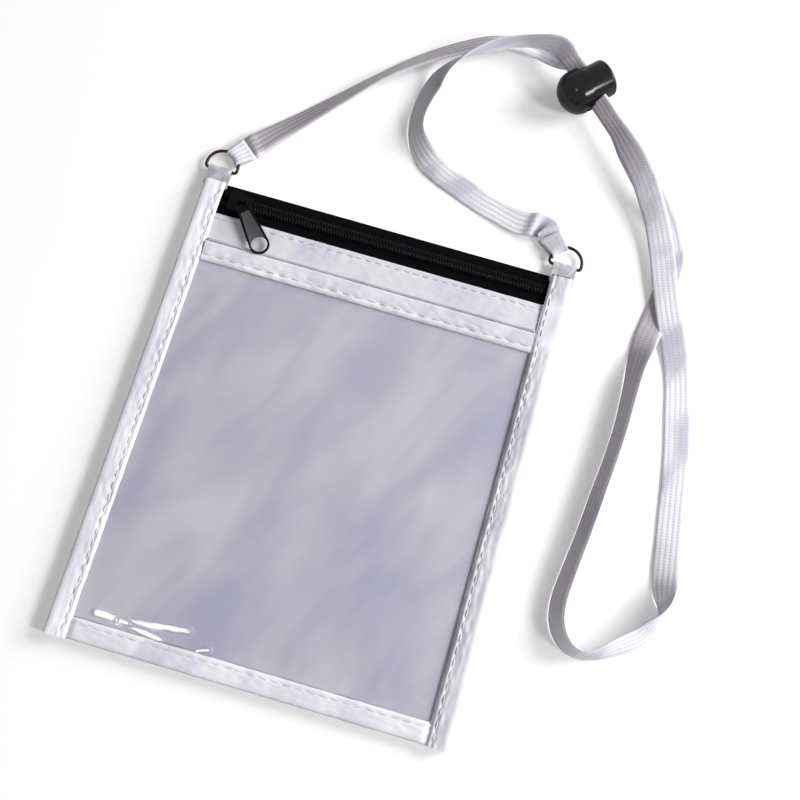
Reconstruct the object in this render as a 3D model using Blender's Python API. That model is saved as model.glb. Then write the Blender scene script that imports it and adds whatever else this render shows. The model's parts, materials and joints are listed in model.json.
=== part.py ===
# Neck wallet: a flat zipped pouch with a clear front window, hung from a flat braided neck strap.
# The pouch lies on its back: X across it, Y from its closed end to its zip, Z out of its front.
# The origin is under the middle of the pouch with its rings. Lengths are in metres, angles in degrees.

import math

import bmesh
import bpy
from mathutils import Vector

# Cloth and clearances
CLOTH = 0.0004
BINDING_CLOTH = 0.00045
VINYL = 0.0003
SEAT_GAP = 0.0003
OVERRUN = 0.001
SMOOTH_ANGLE = 35.0

# Pouch
POUCH_WIDTH = 0.156
POUCH_HEIGHT = 0.1903
BINDING_WIDTH = 0.0087
HEM_HEIGHT = 0.0084
BINDING_FOLD_STEPS = 6
SIDE_RAMP = 0.0024
WINDOW_DROP = 0.0258
WINDOW_BAND_HEIGHT = 0.0087
WINDOW_CROWN = 0.0005

# Zip
ZIP_BAND_HEIGHT = 0.0133
FRONT_LAP = 0.0045
CHAIN_HALF_WIDTH = 0.0022
CHAIN_THICKNESS = 0.0013
TOOTH_PITCH = 0.0016
TOOTH_REACH = 0.00045
TOOTH_GAP = 0.00012
TOOTH_NECK_SHARE = 0.62
TOOTH_HEAD_SHARE = 0.45
CHAIN_SPINE = 0.0009

# Zip slider
SLIDER_LENGTH = 0.0098
SLIDER_PLATE = 0.0008
SLIDER_FLANGE = 0.00075
SLIDER_START = 0.0084
POST_HALF_WIDTH = 0.0006
POST_LENGTH = 0.0034
CORNER_STEPS = 5
SLIDER_STEPS = 8
BAIL_HALF_SPAN = 0.00176
BAIL_WIDTH = 0.0008
BAIL_THICKNESS = 0.0007
BAIL_ROOT = 0.0003

# Zip pull
PULL_LENGTH = 0.0203
PULL_THICKNESS = 0.0011
PULL_NECK_WIDTH = 0.0053
PULL_END_RADIUS = 0.00415
PULL_HOLE_RADIUS = 0.0033
PULL_BAR = 0.0008
PULL_SLOT_WIDTH = 0.0041
PULL_SLOT_LENGTH = 0.0039
PULL_RIM = 0.00075
PULL_RECESS = 0.00025
PULL_HEADING = -50.0
BAR_CLEARANCE = 0.0003
PULL_STEPS = 20

# Rings and their tabs
WIRE_RADIUS = 0.00065
RING_RADIUS = 0.0066
RING_LEG = 0.002
RING_CORNER = 0.0012
RING_ARC_STEPS = 14
RING_CORNER_STEPS = 3
WIRE_SIDES = 8
WIRE_CLEARANCE = 0.00025
TAB_WIDTH = 0.0098
TAB_RISE = 0.0057
TAB_TONGUE = 0.006
TONGUE_THICKNESS = 0.0008
LOOP_STEPS = 12
EYE_LENGTH_SHARE = 2.0
EYE_PINCH_SHARE = 0.1

# Strap
STRAP_WIDTH = 0.0104
STRAP_THICKNESS = 0.00095
STRAP_GATHERED_WIDTH = 0.008
STRAP_GATHERED_THICKNESS = 0.0012
STRAP_END_LENGTH = 0.0068
STRAP_END_WIDTH = 0.0075
STRAP_END_STATIONS = 8
STRAP_LEAD = 0.004
LEFT_STRAP_HEADING = 50.0
RIGHT_STRAP_HEADING = 136.0
GATHER_LENGTH = 0.014
ROUTE_STEP = 0.011

# Cord lock
LOCK_HEIGHT = 0.0094
LOCK_PLACE = (0.0634, 0.1715)
LOCK_HEADING = -44.5
LOCK_LEAN = 25.0
LOCK_TRAVEL = 0.012
LOCK_LEAD = 0.004
BUTTON_TRAVEL = 0.002
KNOB_RADIUS = 0.0092
KNOB_WALL = 0.0009
KNOB_DOME = 0.0078
KNOB_SKIRT = 0.0031
BARREL_CAP = 0.001
BARREL_EDGE = 0.0012
BARREL_LEFT_WEB = 0.001
STEM_RADIUS = 0.0052
STEM_WEB = 0.001
STRAP_CLEARANCE = 0.0004
SPRING_WIRE = 0.0003
SPRING_TURNS = 3
SPRING_TURN_STEPS = 10
SPRING_SIDES = 6
LATHE_STEPS = 28
DOME_STEPS = 7
EDGE_STEPS = 3

# Hand-chosen points of the strap: x, y, height above lying on the table, lean of its width.
# A positive lean raises the edge on the right hand of someone walking along the strap.
LEFT_ROUTE = [
    (-0.0556, 0.1166, 0.0004, 16.0),
    (-0.0475, 0.1252, 0.0, 28.0),
    (-0.0354, 0.1383, 0.0, 38.0),
    (-0.0231, 0.1518, 0.0, 46.0),
    (-0.0102, 0.1640, 0.0, 40.0),
    (0.0032, 0.1742, 0.0, 32.0),
    (0.0173, 0.1826, 0.0, 24.0),
    (0.0292, 0.1862, 0.0002, 22.0),
    (0.0398, 0.1862, 0.0014, 8.0),
    (0.0486, 0.1830, 0.0044, -14.0),
]
RIGHT_ROUTE = [
    (0.0510, 0.1071, 0.0008, 2.0),
    (0.0415, 0.1095, 0.0004, 0.0),
    (0.0322, 0.1122, 0.0, 0.0),
    (0.0232, 0.1155, 0.0, 2.0),
    (0.0142, 0.1190, 0.0, 8.0),
    (0.0062, 0.1234, 0.0, 28.0),
    (0.0002, 0.1302, 0.0, 50.0),
    (-0.0020, 0.1376, 0.0, 52.0),
    (-0.0018, 0.1456, 0.0, 44.0),
    (-0.0002, 0.1546, 0.0, 38.0),
    (0.0026, 0.1616, 0.0022, 48.0),
    (0.0082, 0.1678, 0.0052, 62.0),
    (0.0150, 0.1730, 0.0062, 80.0),
    (0.0222, 0.1781, 0.006, 88.0),
    (0.0302, 0.1824, 0.0056, 88.0),
    (0.0394, 0.1850, 0.0056, 96.0),
    (0.0482, 0.1840, 0.007, 124.0),
]
LOOP_ROUTE = [
    (0.0935, 0.1398, 0.0072, 163.0),
    (0.1010, 0.1290, 0.0056, 168.0),
    (0.1066, 0.1194, 0.0038, 172.0),
    (0.1110, 0.1090, 0.0028, 175.0),
    (0.1150, 0.0970, 0.0024, 175.0),
    (0.1206, 0.0820, 0.0018, 176.0),
    (0.1256, 0.0700, 0.0004, 175.0),
    (0.1294, 0.0590, 0.0, 178.0),
    (0.1328, 0.0430, 0.0, 180.0),
    (0.1358, 0.0272, 0.0, 180.0),
    (0.1379, 0.0112, 0.0, 177.0),
    (0.1398, -0.0043, 0.0, 172.0),
    (0.1413, -0.0185, 0.0, 156.0),
    (0.1424, -0.0285, 0.0, 108.0),
    (0.1408, -0.0365, 0.0, 58.0),
    (0.1362, -0.0435, 0.0, 42.0),
    (0.1295, -0.0485, 0.0, 50.0),
    (0.1225, -0.0532, 0.0, 66.0),
    (0.1160, -0.0556, 0.0, 76.0),
    (0.1096, -0.0534, 0.0, 70.0),
    (0.1050, -0.0470, 0.0, 64.0),
    (0.1036, -0.0380, 0.0, 62.0),
    (0.1048, -0.0250, 0.0, 64.0),
    (0.1066, -0.0110, 0.0, 66.0),
    (0.1082, 0.0050, 0.0, 66.0),
    (0.1098, 0.0200, 0.0, 68.0),
    (0.1108, 0.0340, 0.0, 68.0),
    (0.1110, 0.0480, 0.0, 64.0),
    (0.1112, 0.0600, 0.0, 52.0),
    (0.1126, 0.0720, 0.0, 20.0),
    (0.1146, 0.0830, 0.0, 4.0),
    (0.1160, 0.0940, 0.0, 4.0),
    (0.1162, 0.1045, 0.0, 6.0),
    (0.1142, 0.1140, 0.0, 8.0),
    (0.1094, 0.1240, 0.0003, 12.0),
    (0.1020, 0.1322, 0.002, 19.0),
    (0.0940, 0.1404, 0.0042, 23.0),
]

# Levels of the layers, from the table up
BACK_RIM_Z = BINDING_CLOTH + SEAT_GAP
TAPE_Z = CLOTH + SLIDER_PLATE + 2 * SEAT_GAP
FRONT_Z = TAPE_Z + CLOTH + SEAT_GAP
WINDOW_Z = FRONT_Z + CLOTH + SEAT_GAP
BINDING_TOP_Z = WINDOW_Z + VINYL + SEAT_GAP
POUCH_THICKNESS = BINDING_TOP_Z + BINDING_CLOTH
CHAIN_Z = TAPE_Z + CLOTH + SEAT_GAP
SLIDER_TOP_Z = CHAIN_Z + CHAIN_THICKNESS + SEAT_GAP + SLIDER_PLATE
RING_Z = 0.0022

# Places across and along the pouch
OBJECT_HEIGHT = POUCH_HEIGHT + TAB_RISE + RING_LEG + RING_RADIUS + WIRE_RADIUS
LOW_Y = -OBJECT_HEIGHT / 2
TOP_Y = LOW_Y + POUCH_HEIGHT
WINDOW_TOP_Y = TOP_Y - WINDOW_DROP
SIDE_X = POUCH_WIDTH / 2
FACE_X = SIDE_X - BINDING_WIDTH
PANEL_X = SIDE_X - POUCH_THICKNESS / 2
PANEL_LOW_Y = LOW_Y + POUCH_THICKNESS / 2
ZIP_Y = TOP_Y - ZIP_BAND_HEIGHT / 2
RING_Y = TOP_Y + TAB_RISE
TAB_X = SIDE_X - BINDING_WIDTH / 2
POST_REACH = TOOTH_REACH + POST_HALF_WIDTH + TOOTH_GAP
TAPE_INNER = POST_HALF_WIDTH + SEAT_GAP
SLIDER_X = -FACE_X + SLIDER_START


def clear_scene():
    for item in list(bpy.data.objects):
        bpy.data.objects.remove(item, do_unlink=True)


def finish(name, colour, roughness, metallic=0.0):
    material = bpy.data.materials.new(name)
    material.use_nodes = True
    shader = material.node_tree.nodes["Principled BSDF"]
    shader.inputs["Base Color"].default_value = (*colour, 1.0)
    shader.inputs["Roughness"].default_value = roughness
    shader.inputs["Metallic"].default_value = metallic
    return material


def place(name, mesh, material, parent=None, smooth=False):
    """Put a mesh into the scene under the name of its sub-part."""
    item = bpy.data.objects.new(name, mesh)
    item.data.materials.append(material)
    item.parent = parent
    bpy.context.scene.collection.objects.link(item)
    if smooth:
        mesh.shade_smooth()
        mesh.set_sharp_from_angle(angle=math.radians(SMOOTH_ANGLE))
    return item


def mesh_of(name, shape):
    """Close a bmesh into a mesh with its faces pointing out."""
    bmesh.ops.recalc_face_normals(shape, faces=shape.faces)
    mesh = bpy.data.meshes.new(name)
    shape.to_mesh(mesh)
    shape.free()
    return mesh


def anchor(name, location, heading=0.0, parent=None):
    """An empty that carries pieces turned about the vertical."""
    empty = bpy.data.objects.new(name, None)
    empty.location = location
    empty.rotation_euler = (0.0, 0.0, math.radians(heading))
    empty.parent = parent
    bpy.context.scene.collection.objects.link(empty)
    return empty


def rings_to_shape(rings, closed_ring=True, capped=True, joined=False):
    """Skin a run of equal rings of points with quads; joined closes the last ring to the first."""
    shape = bmesh.new()
    rows = [[shape.verts.new(point) for point in ring] for ring in rings]
    count = len(rows[0])
    pairs = list(zip(rows, rows[1:]))
    if joined:
        pairs.append((rows[-1], rows[0]))
    for low, high in pairs:
        for i in range(count if closed_ring else count - 1):
            j = (i + 1) % count
            shape.faces.new((low[i], low[j], high[j], high[i]))
    if capped and not joined:
        shape.faces.new(list(reversed(rows[0])))
        shape.faces.new(rows[-1])
    return shape


def extruded(name, outline, low, high):
    """A prism of a flat outline in X and Y between two heights."""
    rings = [[(x, y, z) for x, y in outline] for z in (low, high)]
    return mesh_of(name, rings_to_shape(rings))


def along_y(name, outline, low, high):
    """A prism of an outline in X and Z between two places along Y."""
    rings = [[(x, y, z) for x, z in outline] for y in (low, high)]
    return mesh_of(name, rings_to_shape(rings))


def along_x(name, outline, low, high):
    """A prism of an outline in Y and Z between two places along X."""
    rings = [[(x, y, z) for y, z in outline] for x in (low, high)]
    return mesh_of(name, rings_to_shape(rings))


def arc(centre, radius, start, end, steps):
    """Points on a circle between two angles, both ends kept."""
    points = []
    for i in range(steps + 1):
        angle = math.radians(start + (end - start) * i / steps)
        points.append((centre[0] + radius * math.cos(angle), centre[1] + radius * math.sin(angle)))
    return points


def cut(item, cutter):
    """Take a hidden cutter's shape out of a piece."""
    cutter.hide_render = True
    cutter.display_type = "WIRE"
    modifier = item.modifiers.new("cut_" + cutter.name, "BOOLEAN")
    modifier.operation = "DIFFERENCE"
    modifier.object = cutter


def join_shape(item, extra):
    """Fuse a hidden helper's shape to a piece."""
    extra.hide_render = True
    extra.display_type = "WIRE"
    modifier = item.modifiers.new("join_" + extra.name, "BOOLEAN")
    modifier.operation = "UNION"
    modifier.object = extra


def sheet(name, xs, ys, height, thickness):
    """A cloth panel: a grid of points on a height rule, thickened upwards."""
    shape = bmesh.new()
    layers = []
    for lift in (0.0, thickness):
        layers.append([[shape.verts.new((x, y, height(x, y) + lift)) for x in xs] for y in ys])
    low, high = layers
    for j in range(len(ys) - 1):
        for i in range(len(xs) - 1):
            shape.faces.new((low[j][i], low[j + 1][i], low[j + 1][i + 1], low[j][i + 1]))
            shape.faces.new((high[j][i], high[j][i + 1], high[j + 1][i + 1], high[j + 1][i]))
    rim = [(0, i) for i in range(len(xs))]
    rim += [(j, len(xs) - 1) for j in range(1, len(ys))]
    rim += [(len(ys) - 1, i) for i in range(len(xs) - 2, -1, -1)]
    rim += [(j, 0) for j in range(len(ys) - 2, 0, -1)]
    for (ja, ia), (jb, ib) in zip(rim, rim[1:] + rim[:1]):
        shape.faces.new((low[ja][ia], low[jb][ib], high[jb][ib], high[ja][ia]))
    return mesh_of(name, shape)


def build_back_panel(cloth):
    """The back lies on the table and rises at its rim into the bindings."""
    low_face = LOW_Y + HEM_HEIGHT
    flat_x = FACE_X - SIDE_RAMP
    xs = [-PANEL_X, -FACE_X, -flat_x, 0.0, flat_x, FACE_X, PANEL_X]
    ys = [PANEL_LOW_Y, low_face, low_face + SIDE_RAMP, ZIP_Y, TOP_Y - SIDE_RAMP, TOP_Y - CLOTH, TOP_Y]

    def height(x, y):
        on_table = abs(x) <= flat_x and low_face + SIDE_RAMP <= y <= TOP_Y - SIDE_RAMP
        return 0.0 if on_table else BACK_RIM_Z

    place("back_panel", sheet("back_panel", xs, ys, height, CLOTH), cloth)


def build_front_panel(cloth):
    """The cloth front, behind the window and up over the lower zip tape."""
    high = TOP_Y - ZIP_BAND_HEIGHT
    mesh = sheet("front_panel", [-PANEL_X, 0.0, PANEL_X], [PANEL_LOW_Y, high], lambda x, y: FRONT_Z, CLOTH)
    place("front_panel", mesh, cloth)


def build_window(vinyl):
    """The clear sheet, crowned a little between its sewn sides and open along its top."""
    high = WINDOW_TOP_Y - BINDING_CLOTH - SEAT_GAP
    xs = [-PANEL_X, -FACE_X, -FACE_X / 2, 0.0, FACE_X / 2, FACE_X, PANEL_X]
    rise = LOW_Y + HEM_HEIGHT
    fall = high - WINDOW_BAND_HEIGHT
    quarter = (fall - rise) / 4
    ys = [PANEL_LOW_Y, rise, rise + quarter, rise + 2 * quarter, fall - quarter, fall, high]

    def height(x, y):
        across = max(0.0, 1.0 - (x / FACE_X) ** 2)
        middle = (rise + fall) / 2
        along = max(0.0, 1.0 - ((y - middle) / (fall - middle)) ** 2)
        return WINDOW_Z + WINDOW_CROWN * math.sqrt(across * along)

    place("window_sheet", sheet("window_sheet", xs, ys, height, VINYL), vinyl)


def build_window_binding(cloth):
    """The folded tape over the window's upper edge, at the mouth of the clear pocket."""
    top = WINDOW_TOP_Y
    low = top - WINDOW_BAND_HEIGHT
    fold = top - BINDING_CLOTH
    outline = [
        (low, BINDING_TOP_Z), (fold, BINDING_TOP_Z), (fold, WINDOW_Z), (top, WINDOW_Z),
        (top, POUCH_THICKNESS - BINDING_CLOTH / 2), (top - BINDING_CLOTH / 2, POUCH_THICKNESS),
        (low, POUCH_THICKNESS),
    ]
    reach = FACE_X - SEAT_GAP
    place("window_top_binding", along_x("window_top_binding", outline, -reach, reach), cloth)


def channel_outline(width, wall, height, steps):
    """A folded binding seen from its end, its fold at 0 and its two walls reaching inwards."""
    outer = arc((height / 2, height / 2), height / 2, 90.0, 270.0, steps)
    inner = arc((height / 2, height / 2), height / 2 - wall, 270.0, 90.0, steps)
    return outer + [(width, 0.0), (width, wall)] + inner + [(width, height - wall), (width, height)]


def build_side_binding(name, side, cloth):
    """The folded tape that wraps one side edge of all the layers."""
    profile = channel_outline(BINDING_WIDTH, BINDING_CLOTH, POUCH_THICKNESS, BINDING_FOLD_STEPS)
    outline = [(side * (SIDE_X - u), z) for u, z in profile]
    place(name, along_y(name, outline, LOW_Y, TOP_Y), cloth, smooth=True)


def build_bottom_binding(cloth):
    """The folded tape round the closed end, between the two side bindings."""
    profile = channel_outline(HEM_HEIGHT, BINDING_CLOTH, POUCH_THICKNESS, BINDING_FOLD_STEPS)
    outline = [(LOW_Y + u, z) for u, z in profile]
    reach = FACE_X - SEAT_GAP
    mesh = along_x("bottom_binding", outline, -reach, reach)
    place("bottom_binding", mesh, cloth, smooth=True)


def build_zip_tapes(tape):
    """Two flat tapes, parted by the slider's post, sewn in under the bindings."""
    low_y = TOP_Y - ZIP_BAND_HEIGHT - FRONT_LAP
    for name, high, low in (
        ("zip_tape_upper", TOP_Y, ZIP_Y + TAPE_INNER),
        ("zip_tape_lower", ZIP_Y - TAPE_INNER, low_y),
    ):
        outline = [(-PANEL_X, high), (-PANEL_X, low), (PANEL_X, low), (PANEL_X, high)]
        place(name, extruded(name, outline, TAPE_Z, TAPE_Z + CLOTH), tape)


def chain_part(x):
    """How far a chain half stands off the middle: nothing when closed, a full post past the slider."""
    start = SLIDER_X + SLIDER_LENGTH / 2
    end = SLIDER_X - SLIDER_LENGTH / 2 + POST_LENGTH
    t = min(1.0, max(0.0, (start - x) / (start - end)))
    return POST_REACH * t * t * (3.0 - 2.0 * t)


def build_zip_chain(name, side, nylon):
    """One half of the chain: a spine with headed teeth that mesh with the other half's."""
    reach = FACE_X - SEAT_GAP
    count = int(2 * reach / TOOTH_PITCH) - 1
    first = -count * TOOTH_PITCH / 2 + (TOOTH_PITCH / 2 if side > 0 else 0.0)
    head = TOOTH_PITCH * TOOTH_HEAD_SHARE / 2
    neck = head * TOOTH_NECK_SHARE
    points = [(-reach, -CHAIN_HALF_WIDTH), (-reach, -CHAIN_HALF_WIDTH + CHAIN_SPINE)]
    for i in range(count):
        middle = first + i * TOOTH_PITCH
        root = -CHAIN_HALF_WIDTH + CHAIN_SPINE
        shoulder = -TOOTH_REACH
        points += [(middle - neck, root), (middle - neck, shoulder), (middle - head, 0.0)]
        points += [(middle - neck, TOOTH_REACH), (middle + neck, TOOTH_REACH)]
        points += [(middle + head, 0.0), (middle + neck, shoulder), (middle + neck, root)]
    points += [(reach, -CHAIN_HALF_WIDTH + CHAIN_SPINE), (reach, -CHAIN_HALF_WIDTH)]
    back = [x * TOOTH_PITCH for x in range(int(reach / TOOTH_PITCH), -int(reach / TOOTH_PITCH), -1)]
    points += [(x, -CHAIN_HALF_WIDTH) for x in back if x < SLIDER_X + SLIDER_LENGTH]
    outline = [(x, ZIP_Y - side * (y - chain_part(x))) for x, y in points]
    place(name, extruded(name, outline, CHAIN_Z, CHAIN_Z + CHAIN_THICKNESS), nylon)


def slider_edge(extra, near, far):
    """The slider's outer edge from its closed end to its front, wider where the chain parts."""
    points = []
    for k in range(SLIDER_STEPS + 1):
        x = near + (far - near) * k / SLIDER_STEPS
        points.append((x, CHAIN_HALF_WIDTH + SEAT_GAP + chain_part(SLIDER_X + x) + extra))
    return points


def slider_outline():
    """The slider seen from above, with its corners rounded."""
    half = SLIDER_LENGTH / 2
    corner = SLIDER_FLANGE
    front = 2 * corner
    edge = slider_edge(SLIDER_FLANGE, half - corner, -half + front)
    right = arc((half - corner, edge[0][1] - corner), corner, 0.0, 90.0, CORNER_STEPS)
    left = arc((-half + front, edge[-1][1] - front), front, 90.0, 180.0, CORNER_STEPS)
    upper = right + edge[1:-1] + left
    return upper + [(x, -y) for x, y in reversed(upper)]


def channel_cut_outline():
    """The Y-shaped way through the slider that both chain halves run in."""
    half = SLIDER_LENGTH / 2
    edge = slider_edge(0.0, half, -half)
    upper = [(half + OVERRUN, edge[0][1])] + edge + [(-half - OVERRUN, edge[-1][1])]
    return upper + [(x, -y) for x, y in reversed(upper)]


def build_slider(metal):
    """Two plates held by the post between them, with flanges down over the chain and a bail on top."""
    base = anchor("slider_place", (SLIDER_X, ZIP_Y, 0.0))
    low_top = TAPE_Z - SEAT_GAP
    flange_low = CHAIN_Z
    plate_low = SLIDER_TOP_Z - SLIDER_PLATE
    body = extruded("zip_slider", slider_outline(), flange_low, SLIDER_TOP_Z)
    slider = place("zip_slider", body, metal, base, smooth=True)
    way = extruded("slider_way", channel_cut_outline(), flange_low - OVERRUN, plate_low)
    cut(slider, place("slider_way", way, metal, base))
    low_plate = extruded("slider_low_plate", slider_outline(), low_top - SLIDER_PLATE, low_top)
    join_shape(slider, place("slider_low_plate", low_plate, metal, base))
    nose = -SLIDER_LENGTH / 2 + SLIDER_FLANGE
    post = [
        (nose, POST_HALF_WIDTH / 2), (nose, -POST_HALF_WIDTH / 2),
        (nose + POST_LENGTH / 3, -POST_HALF_WIDTH), (nose + POST_LENGTH, 0.0),
        (nose + POST_LENGTH / 3, POST_HALF_WIDTH),
    ]
    overlap = SLIDER_PLATE / 2
    post_mesh = extruded("slider_post", post, low_top - overlap, plate_low + overlap)
    join_shape(slider, place("slider_post", post_mesh, metal, base))
    bar_z = SLIDER_TOP_Z + BAR_CLEARANCE + PULL_BAR / 2
    inner_top = bar_z + PULL_THICKNESS / 2 + BAR_CLEARANCE
    outer = BAIL_HALF_SPAN + BAIL_THICKNESS / 2
    inner = outer - BAIL_THICKNESS
    lift = inner_top + BAIL_THICKNESS
    root = SLIDER_TOP_Z - BAIL_ROOT
    bail = [(-outer, root), (-outer, lift - BAIL_THICKNESS), (-outer + BAIL_THICKNESS, lift)]
    bail += [(outer - BAIL_THICKNESS, lift), (outer, lift - BAIL_THICKNESS), (outer, root)]
    bevel = BAIL_THICKNESS / 2
    bail += [(inner, root), (inner, inner_top - bevel), (inner - bevel, inner_top)]
    bail += [(-inner + bevel, inner_top), (-inner, inner_top - bevel), (-inner, root)]
    bail_mesh = along_y("slider_bail", bail, -BAIL_WIDTH / 2, BAIL_WIDTH / 2)
    join_shape(slider, place("slider_bail", bail_mesh, metal, base))


def pull_outline(inset=0.0, start=None):
    """The pull seen from above, its bar at the origin and its round end out along +X."""
    radius = PULL_END_RADIUS - inset
    half = PULL_NECK_WIDTH / 2 - inset
    back = -PULL_BAR / 2 if start is None else start
    lean = math.degrees(math.atan2(radius - half, PULL_LENGTH))
    points = [(back, -half + PULL_BAR / 4), (back + PULL_BAR / 4, -half)]
    points += arc((PULL_LENGTH, 0.0), radius, -90.0 - lean, 90.0 + lean, PULL_STEPS)
    points += [(back + PULL_BAR / 4, half), (back, half - PULL_BAR / 4)]
    return points


def build_pull(metal):
    """The pull tab: a tapered plate with raised edges, a slot for the bail and a round hole."""
    bar_z = SLIDER_TOP_Z + BAR_CLEARANCE + PULL_BAR / 2
    base = anchor("pull_place", (SLIDER_X, ZIP_Y, bar_z), PULL_HEADING)
    half = PULL_THICKNESS / 2
    pull = place("zip_pull", extruded("zip_pull", pull_outline(), -half, half), metal, base, smooth=True)
    slot_near = PULL_BAR / 2
    slot_far = slot_near + PULL_SLOT_LENGTH
    side = PULL_SLOT_WIDTH / 2
    slot = [(slot_near, -side), (slot_far, -side), (slot_far, side), (slot_near, side)]
    slot_mesh = extruded("pull_slot", slot, -half - OVERRUN, half + OVERRUN)
    cut(pull, place("pull_slot", slot_mesh, metal, base))
    hole = arc((PULL_LENGTH, 0.0), PULL_HOLE_RADIUS, 0.0, 360.0, PULL_STEPS)[:-1]
    hole_mesh = extruded("pull_hole", hole, -half - OVERRUN, half + OVERRUN)
    cut(pull, place("pull_hole", hole_mesh, metal, base))
    face = pull_outline(PULL_RIM, slot_far + PULL_RIM)
    for name, low, high in (
        ("pull_face_top", half - PULL_RECESS, half + OVERRUN),
        ("pull_face_under", -half - OVERRUN, -half + PULL_RECESS),
    ):
        cut(pull, place(name, extruded(name, face, low, high), metal, base))


def ring_route():
    """The D of the wire in its own plane, its bar on the X axis and its bow towards +Y."""
    reach = RING_RADIUS
    left = arc((-reach + RING_CORNER, RING_CORNER), RING_CORNER, 270.0, 180.0, RING_CORNER_STEPS)
    right = arc((reach - RING_CORNER, RING_CORNER), RING_CORNER, 0.0, -90.0, RING_CORNER_STEPS)
    bow = arc((0.0, RING_LEG), RING_RADIUS, 180.0, 0.0, RING_ARC_STEPS)
    return left + bow + right


def build_ring(name, side, metal):
    """A bent wire ring, its straight bar held in the tab's fold."""
    route = [Vector((x, y, 0.0)) for x, y in ring_route()]
    rings = []
    for i, point in enumerate(route):
        along = (route[(i + 1) % len(route)] - route[i - 1]).normalized()
        out = along.cross(Vector((0.0, 0.0, 1.0)))
        ring = []
        for k in range(WIRE_SIDES):
            angle = math.tau * k / WIRE_SIDES
            offset = out * math.cos(angle) + Vector((0.0, 0.0, 1.0)) * math.sin(angle)
            ring.append(point + offset * WIRE_RADIUS)
        rings.append(ring)
    mesh = mesh_of(name, rings_to_shape(rings, joined=True))
    base = anchor(name + "_place", (side * TAB_X, RING_Y, RING_Z))
    place(name, mesh, metal, base, smooth=True)


def loop_profile(inner, wall, length, tip, drop=0.0):
    """A folded loop seen from its side: points of its outside and of its eye, both from the eye's middle."""
    outer = inner + wall
    turn = math.degrees(math.asin(min(1.0, (outer - tip) / length)))
    nose = arc((0.0, 0.0), outer, 90.0 - turn, 270.0 + turn, LOOP_STEPS)
    outside = nose + [(length, drop - tip), (length, drop + tip)]
    eye = [(u * inner / outer, z * inner / outer) for u, z in nose]
    point = inner * EYE_LENGTH_SHARE
    pinch = tip * EYE_PINCH_SHARE
    middle = drop * point / length
    return outside, eye + [(point, middle - pinch), (point, middle + pinch)]


def loop_shape(name, sections):
    """Skin the outside and the eye of a folded loop over its sections, and close both its sides."""
    shape = bmesh.new()
    rows = []
    for outside, eye in sections:
        rows.append(([shape.verts.new(p) for p in outside], [shape.verts.new(p) for p in eye]))
    count = len(rows[0][0])
    for i in range(count):
        j = (i + 1) % count
        for (out_a, eye_a), (out_b, eye_b) in zip(rows, rows[1:]):
            shape.faces.new((out_a[i], out_a[j], out_b[j], out_b[i]))
            shape.faces.new((eye_a[j], eye_a[i], eye_b[i], eye_b[j]))
        for out_row, eye_row in (rows[0], rows[-1]):
            shape.faces.new((out_row[i], out_row[j], eye_row[j], eye_row[i]))
    return mesh_of(name, shape)


def build_tab(name, side, cloth):
    """The cloth loop that holds a ring, its two ends tucked into the top of a side binding."""
    tip = TONGUE_THICKNESS / 2
    tongue_z = TAPE_Z + CLOTH + SEAT_GAP + tip
    drop = tongue_z - RING_Z
    inner = WIRE_RADIUS + WIRE_CLEARANCE
    outside, eye = loop_profile(inner, BINDING_CLOTH, TAB_RISE - SEAT_GAP, tip, drop)
    sections = []
    for x in (-TAB_WIDTH / 2, TAB_WIDTH / 2):
        sections.append(([(x, -u, z) for u, z in outside], [(x, -u, z) for u, z in eye]))
    base = anchor(name + "_place", (side * TAB_X, RING_Y, RING_Z))
    tab = place(name, loop_shape(name, sections), cloth, base, smooth=True)
    tongue_width = BINDING_WIDTH - BINDING_CLOTH - SEAT_GAP - POUCH_THICKNESS / 2
    out_x = SIDE_X - TAB_X - POUCH_THICKNESS / 2
    left, right = sorted((side * out_x, side * (out_x - tongue_width)))
    near = -TAB_RISE + SEAT_GAP
    tongue = [
        (left, near + SEAT_GAP), (left, near - TAB_TONGUE),
        (right, near - TAB_TONGUE), (right, near + SEAT_GAP),
    ]
    mesh = extruded(name + "_tongue", tongue, drop - tip, drop + tip)
    join_shape(tab, place(name + "_tongue", mesh, cloth, base))


def build_strap_end(name, side, heading, braid):
    """The strap's end, folded round the bow of its ring and sewn back on itself."""
    inner = WIRE_RADIUS + WIRE_CLEARANCE
    sections = []
    for k in range(STRAP_END_STATIONS + 1):
        share = 2.0 * k / STRAP_END_STATIONS - 1.0
        lateral = share * STRAP_END_WIDTH / 2
        slope = math.sqrt(RING_RADIUS ** 2 - lateral ** 2) / RING_RADIUS
        shift = RING_RADIUS * slope
        outside, eye = loop_profile(inner, STRAP_THICKNESS, STRAP_END_LENGTH, STRAP_THICKNESS)
        flare = (STRAP_WIDTH - STRAP_END_WIDTH) / STRAP_END_WIDTH
        outer_row = []
        for u, z in outside:
            grow = 1.0 + flare * max(0.0, u) / STRAP_END_LENGTH
            bend = 1.0 - max(0.0, u) / STRAP_END_LENGTH
            stretch = 1.0 / slope if u < STRAP_THICKNESS else 1.0
            outer_row.append((u * stretch + RING_RADIUS + (shift - RING_RADIUS) * bend, lateral * grow, z))
        eye_row = [((u / slope if u < inner else u) + shift, lateral, z) for u, z in eye]
        sections.append((outer_row, eye_row))
    bow = anchor(name + "_place", (side * TAB_X, RING_Y + RING_LEG, RING_Z), heading)
    place(name, loop_shape(name, sections), braid, bow, smooth=True)


def ring_exit(side, heading):
    """Where a strap end stops, and the way it points, on the table plane."""
    angle = math.radians(heading)
    way = Vector((math.cos(angle), math.sin(angle)))
    return Vector((side * TAB_X, RING_Y + RING_LEG)) + way * (RING_RADIUS + STRAP_END_LENGTH + SEAT_GAP), way


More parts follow.
